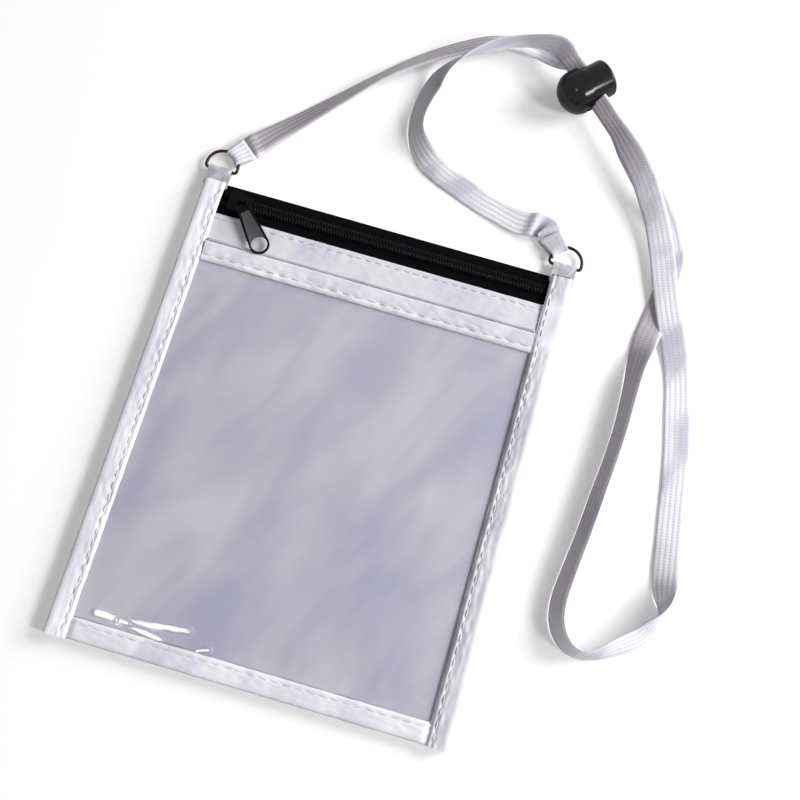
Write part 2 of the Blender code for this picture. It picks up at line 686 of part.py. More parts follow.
def leaving(start, way):
    """The first two points of a run, so that it meets its strap end squarely."""
    return [Vector((*start, RING_Z, 0.0)), Vector((*(start + way * STRAP_LEAD), RING_Z, 0.0))]


def lock_frame():
    """The lock's middle, the way along the strap there, and the way square to the strap's face."""
    angle = math.radians(LOCK_HEADING)
    along = Vector((math.cos(angle), math.sin(angle), 0.0))
    barrel = Vector((-math.sin(angle), math.cos(angle), 0.0))
    lean = math.radians(LOCK_LEAN)
    face = Vector((0.0, 0.0, math.cos(lean))) - barrel * math.sin(lean)
    return Vector((*LOCK_PLACE, LOCK_HEIGHT)), along, face


def smooth_route(points, step):
    """Read evenly spaced points from a smooth curve through a strap's own points."""
    padded = [points[0] * 2 - points[1]] + points + [points[-1] * 2 - points[-2]]
    route = []
    for i in range(1, len(padded) - 2):
        a, b, c, d = padded[i - 1:i + 3]
        pieces = max(1, round((c - b).xyz.length / step))
        for k in range(pieces):
            t = k / pieces
            route.append(0.5 * (2 * b + (c - a) * t + (2 * a - 5 * b + 4 * c - d) * t * t
                                + (3 * b - a - 3 * c + d) * t * t * t))
    route.append(points[-1])
    return route


def table_points(rows):
    """Turn hand-chosen rows into points with a height at which the strap's lower edge lies on the table."""
    points = []
    for x, y, lift, lean in rows:
        angle = math.radians(lean)
        rest = abs(math.sin(angle)) * STRAP_WIDTH / 2 + abs(math.cos(angle)) * STRAP_THICKNESS / 2
        points.append(Vector((x, y, rest + lift, lean)))
    return points


def gather(point):
    """How much the lock has gathered the strap at a point: 1 in its slide, 0 away from it."""
    middle, along, _ = lock_frame()
    offset = point.xyz - middle
    travel = offset.dot(along)
    past = max(-travel - KNOB_RADIUS, travel - KNOB_RADIUS - LOCK_TRAVEL, 0.0)
    aside = offset.xy.length > LOCK_TRAVEL + KNOB_RADIUS + GATHER_LENGTH
    t = 0.0 if aside else max(0.0, 1.0 - past / GATHER_LENGTH)
    return t * t * (3.0 - 2.0 * t)


def build_strap(name, points, braid):
    """A flat ribbon along a strap's points, which hold their place and the lean of its width."""
    route = smooth_route(points, ROUTE_STEP)
    rings = []
    for i, point in enumerate(route):
        ahead = route[min(i + 1, len(route) - 1)].xyz
        behind = route[max(i - 1, 0)].xyz
        along = (ahead - behind).normalized()
        level = along.cross(Vector((0.0, 0.0, 1.0))).normalized()
        upright = level.cross(along)
        angle = math.radians(point[3])
        width = level * math.cos(angle) + upright * math.sin(angle)
        face = along.cross(width)
        amount = gather(point)
        half = (STRAP_WIDTH + (STRAP_GATHERED_WIDTH - STRAP_WIDTH) * amount) / 2
        thick = (STRAP_THICKNESS + (STRAP_GATHERED_THICKNESS - STRAP_THICKNESS) * amount) / 2
        side = width * half
        rise = face * thick
        middle = point.xyz
        left, right = middle + side, middle - side
        rings.append([left + rise, left - rise, right - rise, right + rise])
    place(name, mesh_of(name, rings_to_shape(rings)), braid)
    length = sum((b.xyz - a.xyz).length for a, b in zip(route, route[1:]))
    print(name, "length", round(length, 4))


def build_straps(braid):
    """The strap's two runs from the rings to the lock, and its loop from the lock and back."""
    middle, along, face = lock_frame()
    offset = face * (STRAP_GATHERED_THICKNESS + SEAT_GAP) / 2
    near = KNOB_RADIUS + STRAP_CLEARANCE
    far = near + LOCK_TRAVEL

    def lock_point(side, travel, lean):
        place_at = middle + offset * side + along * travel
        return Vector((*place_at, lean))

    left_start, left_way = ring_exit(-1, LEFT_STRAP_HEADING)
    left = leaving(left_start, left_way) + table_points(LEFT_ROUTE)
    left += [lock_point(-1, -near - LOCK_LEAD, -LOCK_LEAN), lock_point(-1, -near, -LOCK_LEAN)]
    left += [lock_point(-1, -SEAT_GAP / 2, -LOCK_LEAN)]
    build_strap("strap_left_run", left, braid)
    right_start, right_way = ring_exit(1, RIGHT_STRAP_HEADING)
    right = leaving(right_start, right_way) + table_points(RIGHT_ROUTE)
    flat = 180.0 - LOCK_LEAN
    right += [lock_point(1, -near - LOCK_LEAD, flat), lock_point(1, -near, flat)]
    right += [lock_point(1, -SEAT_GAP / 2, flat)]
    build_strap("strap_right_run", right, braid)
    stops = [SEAT_GAP / 2, near, far, far + LOCK_LEAD]
    loop = [lock_point(1, stop, flat) for stop in stops]
    loop += table_points(LOOP_ROUTE)
    loop += [lock_point(-1, stop, LOCK_LEAN) for stop in reversed(stops)]
    build_strap("strap_loop", loop, braid)


def lathe(name, profile):
    """Turn a closed profile of places along X and radii about the X axis."""
    shape = bmesh.new()
    rows = []
    for u, radius in profile:
        if radius <= 0.0:
            rows.append([shape.verts.new((u, 0.0, 0.0))])
            continue
        ring = []
        for k in range(LATHE_STEPS):
            angle = math.tau * k / LATHE_STEPS
            ring.append(shape.verts.new((u, radius * math.cos(angle), radius * math.sin(angle))))
        rows.append(ring)
    closed = profile[0][1] > 0.0
    pairs = list(zip(rows, rows[1:]))
    if closed:
        pairs.append((rows[-1], rows[0]))
    for low, high in pairs:
        for k in range(LATHE_STEPS):
            j = (k + 1) % LATHE_STEPS
            corners = [low[k % len(low)], low[j % len(low)], high[j % len(high)], high[k % len(high)]]
            unique = list(dict.fromkeys(corners))
            if len(unique) > 2:
                shape.faces.new(unique)
    return mesh_of(name, shape)


def lock_sizes():
    """Places along the barrel, counted from the middle of the strap's slot."""
    slot = STRAP_GATHERED_WIDTH / 2 + STRAP_CLEARANCE
    stack = STRAP_GATHERED_THICKNESS + SEAT_GAP / 2 + STRAP_CLEARANCE
    lean = math.radians(LOCK_LEAN)
    reach = slot * math.cos(lean) + stack * math.sin(lean)
    barrel_left = -reach - BARREL_LEFT_WEB
    stem_end = reach + STEM_WEB
    bore_end = stem_end + BUTTON_TRAVEL + SEAT_GAP
    return slot, stack, barrel_left, stem_end, bore_end


def slot_cutter(name, base, slot, stack, travel):
    """The leaning way of the strap, lengthened along the barrel by the travel of what it cuts."""
    lean = math.radians(LOCK_LEAN)
    width = slot + travel * math.cos(lean) / 2
    height = stack + travel * math.sin(lean) / 2
    reach = KNOB_RADIUS + OVERRUN
    corners = []
    for u, v in ((width, height), (-width, height), (-width, -height), (width, -height)):
        x = u * math.cos(lean) - v * math.sin(lean) - travel / 2
        corners.append((x, u * math.sin(lean) + v * math.cos(lean)))
    return place(name, along_y(name, corners, -reach, reach), finish(name, (0.0, 0.0, 0.0), 1.0), base)


def build_lock(plastic, steel):
    """The cord lock: a pierced barrel, a domed button with its pierced stem, and a spring between them."""
    base = anchor("lock_place", lock_frame()[0], LOCK_HEADING + 90.0)
    slot, stack, barrel_left, stem_end, bore_end = lock_sizes()
    bore = STEM_RADIUS + SEAT_GAP
    barrel_radius = KNOB_RADIUS - KNOB_WALL - SEAT_GAP
    end = bore_end + BARREL_CAP
    corner = arc((end - BARREL_EDGE, barrel_radius - BARREL_EDGE), BARREL_EDGE, 90.0, 0.0, EDGE_STEPS)
    profile = [(bore_end, 0.0), (bore_end, bore), (barrel_left, bore), (barrel_left, barrel_radius)]
    profile += corner + [(end, 0.0)]
    barrel = place("cord_lock_barrel", lathe("cord_lock_barrel", profile), plastic, base, smooth=True)
    cut(barrel, slot_cutter("barrel_slot", base, slot, stack, 0.0))

    skirt_end = barrel_left + KNOB_SKIRT
    inner_radius = KNOB_RADIUS - KNOB_WALL
    inner_dome = KNOB_DOME - KNOB_WALL
    depth = inner_dome * math.sqrt(1.0 - (barrel_radius / inner_radius) ** 2)
    dome_x = barrel_left - BUTTON_TRAVEL - SEAT_GAP + depth
    outer = []
    inner = []
    for k in range(DOME_STEPS + 1):
        angle = math.radians(90.0 * k / DOME_STEPS)
        outer.append((dome_x - KNOB_DOME * math.cos(angle), KNOB_RADIUS * math.sin(angle)))
        inner.append((dome_x - inner_dome * math.cos(angle), inner_radius * math.sin(angle)))
    outer[0] = (dome_x - KNOB_DOME, 0.0)
    stem_turn = math.asin(STEM_RADIUS / inner_radius)
    stem_root = dome_x - inner_dome * math.cos(stem_turn)
    inner = [point for point in inner if point[1] > STEM_RADIUS]
    profile = outer + [(skirt_end, KNOB_RADIUS), (skirt_end, inner_radius)] + list(reversed(inner))
    profile += [(stem_root, STEM_RADIUS), (stem_end, STEM_RADIUS), (stem_end, 0.0)]
    button = place("cord_lock_button", lathe("cord_lock_button", profile), plastic, base, smooth=True)
    cut(button, slot_cutter("button_slot", base, slot, stack, BUTTON_TRAVEL))

    coil_radius = bore + SEAT_GAP + SPRING_WIRE
    seat = math.sqrt(1.0 - ((coil_radius + SPRING_WIRE) / inner_radius) ** 2)
    low = dome_x - inner_dome * seat + SPRING_WIRE + SEAT_GAP
    high = barrel_left - SPRING_WIRE - SEAT_GAP
    rings = []
    count = SPRING_TURNS * SPRING_TURN_STEPS
    for k in range(count + 1):
        turn = math.tau * k / SPRING_TURN_STEPS
        out = Vector((0.0, math.cos(turn), math.sin(turn)))
        centre = Vector((low + (high - low) * k / count, 0.0, 0.0)) + out * coil_radius
        ring = []
        for j in range(SPRING_SIDES):
            angle = math.tau * j / SPRING_SIDES
            offset = out * math.cos(angle) + Vector((math.sin(angle), 0.0, 0.0))
            ring.append(centre + offset * SPRING_WIRE)
        rings.append(ring)
    place("cord_lock_spring", mesh_of("cord_lock_spring", rings_to_shape(rings)), steel, base, smooth=True)
    turn_gap = (high - low) / SPRING_TURNS - 2 * SPRING_WIRE
    print("spring least gap between turns", round(turn_gap, 5))


def main():
    clear_scene()
    cloth = finish("white_nylon", (0.80, 0.80, 0.85), 0.55)
    vinyl = finish("clear_vinyl", (0.86, 0.86, 0.90), 0.12)
    tape = finish("black_tape", (0.012, 0.012, 0.014), 0.75)
    nylon = finish("black_nylon", (0.015, 0.015, 0.018), 0.35)
    slider_metal = finish("black_metal", (0.02, 0.02, 0.022), 0.35, 1.0)
    ring_metal = finish("dark_bronze", (0.10, 0.07, 0.06), 0.35, 1.0)
    braid = finish("white_braid", (0.82, 0.81, 0.86), 0.8)
    plastic = finish("black_plastic", (0.01, 0.01, 0.012), 0.12)
    steel = finish("spring_steel", (0.55, 0.55, 0.56), 0.3, 1.0)
    build_back_panel(cloth)
    build_front_panel(cloth)
    build_window(vinyl)
    build_window_binding(cloth)
    build_side_binding("left_side_binding", -1, cloth)
    build_side_binding("right_side_binding", 1, cloth)
    build_bottom_binding(cloth)
    build_zip_tapes(tape)
    build_zip_chain("zip_chain_upper", -1, nylon)
    build_zip_chain("zip_chain_lower", 1, nylon)
    build_slider(slider_metal)
    build_pull(slider_metal)
    for word, side, heading in (("left", -1, LEFT_STRAP_HEADING), ("right", 1, RIGHT_STRAP_HEADING)):
        build_tab(word + "_ring_tab", side, cloth)
        build_ring(word + "_d_ring", side, ring_metal)
        build_strap_end("strap_end_" + word, side, heading, braid)
    build_straps(braid)
    build_lock(plastic, steel)


main()
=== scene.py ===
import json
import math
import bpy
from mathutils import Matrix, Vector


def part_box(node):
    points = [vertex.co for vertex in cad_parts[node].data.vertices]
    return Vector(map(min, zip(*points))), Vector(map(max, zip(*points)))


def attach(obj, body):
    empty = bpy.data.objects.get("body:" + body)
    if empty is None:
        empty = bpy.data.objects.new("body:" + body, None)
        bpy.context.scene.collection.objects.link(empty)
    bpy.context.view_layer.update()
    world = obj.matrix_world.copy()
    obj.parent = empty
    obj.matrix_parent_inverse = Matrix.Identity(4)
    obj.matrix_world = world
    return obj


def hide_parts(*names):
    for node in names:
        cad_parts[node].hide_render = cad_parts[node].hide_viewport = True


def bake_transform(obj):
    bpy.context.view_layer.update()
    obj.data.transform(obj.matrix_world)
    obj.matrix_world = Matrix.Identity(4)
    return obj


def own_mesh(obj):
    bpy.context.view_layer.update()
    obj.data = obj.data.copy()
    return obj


bl_info = {
    "name": "Neck Wallet",
    "version": (1, 0, 0),
    "blender": (4, 5, 0),
    "location": "View3D > Sidebar > Neck Wallet",
    "description": "Dresses a neck wallet in cloth, clear vinyl, a coil zip, a braided strap and a cord lock",
    "category": "Object",
}

import bpy
import numpy as np
from bpy.props import FloatProperty, FloatVectorProperty, IntProperty, PointerProperty
from bpy.types import NodeSocket, Operator, Panel, PropertyGroup
from mathutils import Matrix, Vector, noise

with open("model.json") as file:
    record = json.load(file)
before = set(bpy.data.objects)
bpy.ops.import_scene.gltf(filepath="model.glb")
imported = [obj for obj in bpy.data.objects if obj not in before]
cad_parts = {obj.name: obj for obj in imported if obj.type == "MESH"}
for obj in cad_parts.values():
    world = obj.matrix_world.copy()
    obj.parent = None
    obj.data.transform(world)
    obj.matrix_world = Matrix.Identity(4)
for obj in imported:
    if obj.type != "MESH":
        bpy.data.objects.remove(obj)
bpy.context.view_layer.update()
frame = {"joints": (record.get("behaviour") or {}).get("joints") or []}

MM = 0.001

# Places read from the frame
BACK_LOW, BACK_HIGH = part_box("back_panel")
SIDE_LOW, SIDE_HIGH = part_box("right_side_binding")
HEM_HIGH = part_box("bottom_binding")[1]
BAND_LOW, BAND_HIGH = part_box("window_top_binding")
WINDOW_LOW, WINDOW_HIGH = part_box("window_sheet")
FRONT_LOW, FRONT_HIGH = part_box("front_panel")
UPPER_TAPE_LOW, UPPER_TAPE_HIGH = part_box("zip_tape_upper")
LOWER_TAPE_LOW, LOWER_TAPE_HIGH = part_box("zip_tape_lower")
CHAIN_LOW, CHAIN_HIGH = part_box("zip_chain_upper")
SLIDER_LOW, SLIDER_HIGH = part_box("zip_slider")

TOP_Y = SIDE_HIGH.y
LOW_Y = SIDE_LOW.y
SIDE_X = SIDE_HIGH.x
FACE_X = SIDE_LOW.x
THICKNESS = SIDE_HIGH.z
ZIP_Y = (UPPER_TAPE_LOW.y + LOWER_TAPE_HIGH.y) / 2
SLIDER_X = (SLIDER_LOW.x + SLIDER_HIGH.x) / 2
CLOTH = 0.4 * MM

# The strap's own points, as in the part: x, y and lift off the table in millimetres, lean in degrees
LEFT_ROUTE = [
    (-55.6, 116.6, 0.4, 16), (-47.5, 125.2, 0, 28), (-35.4, 138.3, 0, 38), (-23.1, 151.8, 0, 46),
    (-10.2, 164, 0, 40), (3.2, 174.2, 0, 32), (17.3, 182.6, 0, 24), (29.2, 186.2, 0.2, 22),
    (39.8, 186.2, 1.4, 8), (48.6, 183, 4.4, -14),
]
RIGHT_ROUTE = [
    (51, 107.1, 0.8, 2), (41.5, 109.5, 0.4, 0), (32.2, 112.2, 0, 0), (23.2, 115.5, 0, 2),
    (14.2, 119, 0, 8), (6.2, 123.4, 0, 28), (0.2, 130.2, 0, 50), (-2, 137.6, 0, 52),
    (-1.8, 145.6, 0, 44), (-0.2, 154.6, 0, 38), (2.6, 161.6, 2.2, 48), (8.2, 167.8, 5.2, 62),
    (15, 173, 6.2, 80), (22.2, 178.1, 6, 88), (30.2, 182.4, 5.6, 88), (39.4, 185, 5.6, 96),
    (48.2, 184, 7, 124),
]
LOOP_ROUTE = [
    (93.5, 139.8, 7.2, 163), (101, 129, 5.6, 168), (106.6, 119.4, 3.8, 172), (111, 109, 2.8, 175),
    (115, 97, 2.4, 175), (120.6, 82, 1.8, 176), (125.6, 70, 0.4, 175), (129.4, 59, 0, 178),
    (132.8, 43, 0, 180), (135.8, 27.2, 0, 180), (137.9, 11.2, 0, 177), (139.8, -4.3, 0, 172),
    (141.3, -18.5, 0, 156), (142.4, -28.5, 0, 108), (140.8, -36.5, 0, 58), (136.2, -43.5, 0, 42),
    (129.5, -48.5, 0, 50), (122.5, -53.2, 0, 66), (116, -55.6, 0, 76), (109.6, -53.4, 0, 70),
    (105, -47, 0, 64), (103.6, -38, 0, 62), (104.8, -25, 0, 64), (106.6, -11, 0, 66),
    (108.2, 5, 0, 66), (109.8, 20, 0, 68), (110.8, 34, 0, 68), (111, 48, 0, 64),
    (111.2, 60, 0, 52), (112.6, 72, 0, 20), (114.6, 83, 0, 4), (116, 94, 0, 4),
    (116.2, 104.5, 0, 6), (114.2, 114, 0, 8), (109.4, 124, 0.3, 12), (102, 132.2, 2, 19),
    (94, 140.4, 4.2, 23),
]

# Sizes shared with the part
BINDING_CLOTH = 0.45 * MM
WIRE_RADIUS = 0.65 * MM
RING_RADIUS = 6.6 * MM
RING_LEG = 2.0 * MM
RING_CORNER = 1.2 * MM
STRAP_WIDTH = 10.4 * MM
STRAP_THICKNESS = 0.95 * MM
GATHERED_WIDTH = 8.0 * MM
GATHERED_THICKNESS = 1.2 * MM
STRAP_END_WIDTH = 7.5 * MM
STRAP_END_LENGTH = 6.8 * MM
LEFT_HEADING = 50.0
RIGHT_HEADING = 136.0
STRAP_LEAD = 4.0 * MM
SEAT_GAP = 0.3 * MM
LOCK_MIDDLE = Vector((0.0634, 0.1715, 0.0094))
LOCK_HEADING = -44.5
LOCK_LEAN = 25.0
LOCK_TRAVEL = 12.0 * MM
LOCK_LEAD = 4.0 * MM
KNOB_RADIUS = 9.2 * MM
STRAP_CLEARANCE = 0.4 * MM
GATHER_LENGTH = 14.0 * MM
CHAIN_HALF_WIDTH = 2.2 * MM
SLIDER_LENGTH = 9.8 * MM
SLIDER_PLATE = 0.8 * MM
SLIDER_FLANGE = 0.75 * MM
SLIDER_TOP = 4.9 * MM
POST_LENGTH = 3.4 * MM
POST_REACH = 1.17 * MM
BAIL_HALF_SPAN = 1.76 * MM
BAIL_RADIUS = 0.35 * MM
PULL_Z = 5.6 * MM
PULL_LENGTH = 20.3 * MM
PULL_THICKNESS = 1.1 * MM
PULL_NECK_WIDTH = 5.3 * MM
PULL_END_RADIUS = 4.15 * MM
PULL_HOLE_RADIUS = 3.3 * MM
PULL_BAR = 0.8 * MM
PULL_SLOT = (3.9 * MM, 4.1 * MM)
PULL_RIM = 0.75 * MM
PULL_RECESS = 0.25 * MM
PULL_HEADING = -50.0
KNOB_WALL = 0.9 * MM
KNOB_DOME = 7.8 * MM
KNOB_SKIRT = 3.1 * MM
BUTTON_TRAVEL = 2.0 * MM
STEM_RADIUS = 5.2 * MM
SPRING_WIRE = 0.3 * MM
SPRING_TURNS = 3

# Where the pull's round end lies when the zip is open, and how far the fold is flattened round it
PULL_REST = (60.0 * MM, 75.0 * MM)
PULL_REST_FADE = 6.0 * MM

# How wide and how deep a binding turns down at its inner edge
LIP_WIDTH = 1.1 * MM
LIP_DROP = 0.5 * MM

# How far the folded cloth stays off the table, and how far a lap rises over the layers under it
TABLE_GAP = 0.06 * MM
LAP_RISE = 0.33 * MM

# Steps round a folded binding: over its lap, round its fold and under the pouch
LAP_STEPS, FOLD_STEPS, UNDER_STEPS = 24, 20, 5

# The wound wire of a chain half: how far its middle lies from the zip's, its reach each way and its slant
COIL_MIDDLE = 0.90 * MM
COIL_REACH = 1.07 * MM
COIL_SLANT = 0.12 * MM
COIL_STEPS = 12

# The cloth loop at a ring: its radius round the bar, and half its thickness where it is pressed together
TAB_RADIUS = 1.12 * MM
TAB_TIP = 0.4 * MM

# How far in from their edges the seams lie, and the stitch lengths of the two seams across the front
SIDE_SEAM_INSET = 2.0 * MM
HEM_SEAM_INSET = 1.9 * MM
HEADER_SEAM_INSET = 2.1 * MM
BAND_SEAM_INSET = 2.5 * MM
HEADER_PITCH = 4.05 * MM
BAND_PITCH = 5.3 * MM

# Share of a stitch's pitch that its thread spans, and how deep its ends sink in the needle holes
STITCH_SHARE = 0.78
STITCH_SAG = 1.2

# Where the lamp stands that shows in the vinyl
GLINT_LAMP = (-0.235, -0.31, 1.0)

# Places near the closed end where the vinyl leans so that the lamp shows in it: both ends and half the width
GLINTS = (
    (-0.0612, -0.0903, -0.0500, -0.0910, 1.45 * MM),
    (-0.0525, -0.0911, -0.0350, -0.0934, 1.10 * MM),
    (-0.0520, -0.0908, -0.0262, -0.0874, 1.25 * MM),
    (-0.0212, -0.0935, -0.0170, -0.0919, 0.80 * MM),
)


def colour(name, description, value):
    """A colour setting."""
    return FloatVectorProperty(name=name, description=description, subtype="COLOR", min=0.0, max=1.0,
                               default=value)


def distance(name, description, value):
    """A length setting."""
    return FloatProperty(name=name, description=description, subtype="DISTANCE", unit="LENGTH", precision=5,
                         default=value)


def power(name, description, value):
    """A setting for a lamp's power."""
    return FloatProperty(name=name, description=description, unit="POWER", default=value)


class ClothSettings(PropertyGroup):
    """Colours and sizes of the sewn cloth and the clear window."""

    cloth_colour: colour("Cloth colour", "Colour of the white coated cloth", (0.77, 0.77, 0.81))
    shade_colour: colour("Shade colour", "Colour of the creased places of the cloth", (0.60, 0.585, 0.69))
    panel_colour: colour("Panel colour", "Colour of the cloth behind the clear window", (0.82, 0.82, 0.85))
    vinyl_tint: colour("Vinyl tint", "Colour of the light that the vinyl scatters", (0.64, 0.635, 0.73))
    vinyl_haze: FloatProperty(name="Vinyl haze", description="Share of the cloth behind that the vinyl hides",
                              subtype="FACTOR", min=0.0, max=1.0, default=0.50)
    pucker: distance("Pucker", "Height of the gathers along a sewn edge", 0.26 * MM)
    ripple: distance("Ripple", "Height of the soft waves in the window", 0.55 * MM)
    stitch_pitch: distance("Stitch pitch", "Length of one stitch along the bindings", 4.6 * MM)
    thread_radius: distance("Thread radius", "Half the thickness of the sewing thread", 0.19 * MM)


class ZipSettings(PropertyGroup):
    """Sizes and colours of the zip."""

    coil_pitch: distance("Coil pitch", "Distance between two turns of one coil", 1.25 * MM)
    coil_wire: distance("Coil wire", "Radius of the nylon wire of the coil", 0.27 * MM)
    tape_colour: colour("Tape colour", "Colour of the woven zip tape", (0.0022, 0.0022, 0.003))
    metal_colour: colour("Metal colour", "Colour of the painted slider and pull", (0.0025, 0.0025, 0.0028))
    face_colour: colour("Face colour", "Colour of the worn recessed face of the pull", (0.060, 0.062, 0.064))


class StrapSettings(PropertyGroup):
    """Sizes and colours of the strap, its rings and its lock."""

    ribs: IntProperty(name="Ribs", description="Ribs across the flat of the braid", min=1, max=12, default=5)
    rib_depth: distance("Rib depth", "Depth of the furrows between the ribs", 0.09 * MM)
    braid_colour: colour("Braid colour", "Colour of the braided strap", (0.84, 0.83, 0.88))
    patch_colour: colour("Patch colour", "Colour of the strap's worn patches", (0.42, 0.42, 0.52))
    # Painted shade: the colour the strap is darkened towards over its chosen stretches
    painted_shade_colour: colour("Dull colour", "Colour of the strap's dull stretches", (0.35, 0.275, 0.32))
    ring_colour: colour("Ring colour", "Colour of the plated wire rings", (0.030, 0.017, 0.013))
    lock_colour: colour("Lock colour", "Colour of the moulded cord lock", (0.002, 0.0016, 0.0016))


class StageSettings(PropertyGroup):
    """The camera, lamps and floor."""

    camera_place: FloatVectorProperty(
        name="Camera place", description="Where the camera stands", subtype="TRANSLATION", precision=5,
        default=(0.038419, -0.084031, 0.426240),
    )
    camera_turn: FloatVectorProperty(
        name="Camera turn", description="Turn of the camera", subtype="EULER",
        default=tuple(math.radians(v) for v in (13.784, -2.076, 16.015)),
    )
    lens: FloatProperty(name="Lens", description="Focal length in millimetres", default=49.79)
    key_power: power("Key power", "Power of the lamp on the right", 11.0)
    soft_power: power("Soft power", "Power of the broad lamp beyond the wallet", 30.0)
    glint_power: power("Glint power", "Power of the long lamp that shows in the vinyl", 1.2)
    sky: FloatProperty(name="Sky", description="Strength of the light from all round", default=0.17)


def settings(name):
    """One of the groups of settings kept on the scene."""
    return getattr(bpy.context.scene, "wallet_" + name)


def smoothstep(t):
    t = min(1.0, max(0.0, t))
    return t * t * (3.0 - 2.0 * t)


def wave(x, y, size, seed=0.0, stretch=1.0, heading=0.0):
    """Smooth noise between about -1 and 1, its features size across and stretched along a heading."""
    angle = math.radians(heading)
    along = x * math.cos(angle) + y * math.sin(angle)
    across = y * math.cos(angle) - x * math.sin(angle)
    return noise.noise(Vector((along / (size * stretch), across / size, seed)))


def join(tree, value, socket):
    """Link a socket, or set its value to a number or a colour."""
    if isinstance(value, NodeSocket):
        tree.links.new(value, socket)
    else:
        socket.default_value = (*value, 1.0) if socket.type == "RGBA" else value


def add(tree, kind, inputs=None, **values):
    """A node with its values and inputs set."""
    item = tree.nodes.new(kind)
    for key, value in values.items():
        setattr(item, key, value)
    for key, value in (inputs or {}).items():
        join(tree, value, item.inputs[key])
    return item


def calc(tree, operation, a, b=0.0, c=0.0, **values):
    """The output of a maths node."""
    return add(tree, "ShaderNodeMath", {0: a, 1: b, 2: c}, operation=operation, **values).outputs[0]


def colour_mix(tree, factor, a, b):
    """A mix of two colours given as tuples or sockets."""
    item = add(tree, "ShaderNodeMix", data_type="RGBA")
    join(tree, factor, item.inputs[0])
    for socket, value in zip((s for s in item.inputs if s.type == "RGBA"), (a, b)):
        join(tree, value, socket)
    return next(s for s in item.outputs if s.type == "RGBA")


def speckle(tree, place, scale, detail=3.0, roughness=0.5, distortion=0.0):
    """The output of a noise texture."""
    inputs = {"Vector": place, "Scale": scale, "Detail": detail, "Roughness": roughness,
              "Distortion": distortion}
    return add(tree, "ShaderNodeTexNoise", inputs).outputs["Fac"]


def object_place(tree):
    """The place in the object's own space."""
    return add(tree, "ShaderNodeTexCoord").outputs["Object"]


def open_group(name, inputs):
    """A shader node group with named number inputs, and those inputs as sockets inside it."""
    group = bpy.data.node_groups.new(name, "ShaderNodeTree")
    for label, value in inputs.items():
        socket = group.interface.new_socket(name=label, in_out="INPUT", socket_type="NodeSocketFloat")
        socket.default_value = value
    return group, group.nodes.new("NodeGroupInput").outputs


def close_group(group, **outputs):
    """Give a group its named number outputs."""
    for label in outputs:
        group.interface.new_socket(name=label, in_out="OUTPUT", socket_type="NodeSocketFloat")
    result = group.nodes.new("NodeGroupOutput")
    for label, value in outputs.items():
        group.links.new(value, result.inputs[label])
    return group


def woven_group():
    """Plain weave, uneven yarns and soft crumples over object space."""
    group, given = open_group("Woven cloth", {"Threads": 3200.0, "Crumple size": 60.0})
    place = object_place(group)
    axes = add(group, "ShaderNodeSeparateXYZ", {0: place}).outputs
    warp, weft = (calc(group, "SINE", calc(group, "MULTIPLY", axes[k], given["Threads"])) for k in (0, 1))
    yarn = speckle(group, place, 900.0)
    crumple = speckle(group, place, given["Crumple size"], 4.0, 0.55)
    fine = calc(group, "MULTIPLY_ADD", calc(group, "MULTIPLY", warp, weft), 0.25, yarn)
    shade = calc(group, "MULTIPLY_ADD", yarn, 0.5, calc(group, "MULTIPLY", crumple, 0.5))
    return close_group(group, Shade=shade, Height=calc(group, "MULTIPLY_ADD", fine, 0.3, crumple))


def braid_group():
    """Chevron stitches along ribs, over the strap's own U across and V along."""
    group, given = open_group("Ribbed braid", {"Ribs": 5.0, "Stitches": 900.0})
    place = add(group, "ShaderNodeUVMap", uv_map="Braid").outputs[0]
    axes = add(group, "ShaderNodeSeparateXYZ", {0: place}).outputs
    lane = calc(group, "FRACT", calc(group, "MULTIPLY", axes[0], given["Ribs"]))
    off = calc(group, "ABSOLUTE", calc(group, "SUBTRACT", lane, 0.5))
    slant = calc(group, "MULTIPLY", off, 5.0)
    stitch = calc(group, "SINE", calc(group, "MULTIPLY_ADD", axes[1], given["Stitches"], slant))
    # The furrows between the ribs: sunk in the height, and the mask of the painted shade in them
    furrow = calc(group, "POWER", calc(group, "MULTIPLY", off, 2.0), 2.6)
    fibre = speckle(group, object_place(group), 1400.0)
    rise = calc(group, "MULTIPLY_ADD", stitch, 0.35, fibre)
    height = calc(group, "SUBTRACT", rise, calc(group, "MULTIPLY", furrow, 0.8))
    shade = calc(group, "MULTIPLY_ADD", stitch, 0.18, calc(group, "MULTIPLY", fibre, 0.8))
    return close_group(group, Shade=shade, Height=height, Furrow=furrow)


def cloud_group():
    """Broad soft clouds, drawn out along one direction."""
    group, given = open_group("Soft clouds", {"Size": 22.0, "Contrast": 2.0})
    turned = add(group, "ShaderNodeMapping", {
        "Vector": object_place(group), "Rotation": (0.0, 0.0, math.radians(64.0)), "Scale": (2.1, 0.9, 1.0),
    }, vector_type="TEXTURE").outputs[0]
    centred = calc(group, "SUBTRACT", speckle(group, turned, given["Size"], 2.5, 0.5, 0.35), 0.5)
    cloud = calc(group, "MULTIPLY_ADD", centred, given["Contrast"], 0.5, use_clamp=True)
    return close_group(group, Cloud=cloud)


def handling_group():
    """Fine scratches and smudges from handling."""
    group, given = open_group("Handling marks", {"Scratches": 260.0, "Smudges": 90.0})
    place = object_place(group)
    drawn = add(group, "ShaderNodeMapping", {
        "Vector": place, "Rotation": (0.3, 0.2, 0.7), "Scale": (1.0, 14.0, 1.0),
    }).outputs[0]
    scratch = speckle(group, drawn, given["Scratches"], 4.0)
    thin = add(group, "ShaderNodeMapRange", {"Value": scratch, "From Min": 0.60, "From Max": 0.72}).outputs[0]
    return close_group(group, Scratch=thin, Smudge=speckle(group, place, given["Smudges"], 3.0, 0.6),
                       Grain=speckle(group, place, 2600.0, 2.0))


GROUPS = {}
GROUP_MAKERS = {"woven": woven_group, "braid": braid_group, "cloud": cloud_group, "handling": handling_group}


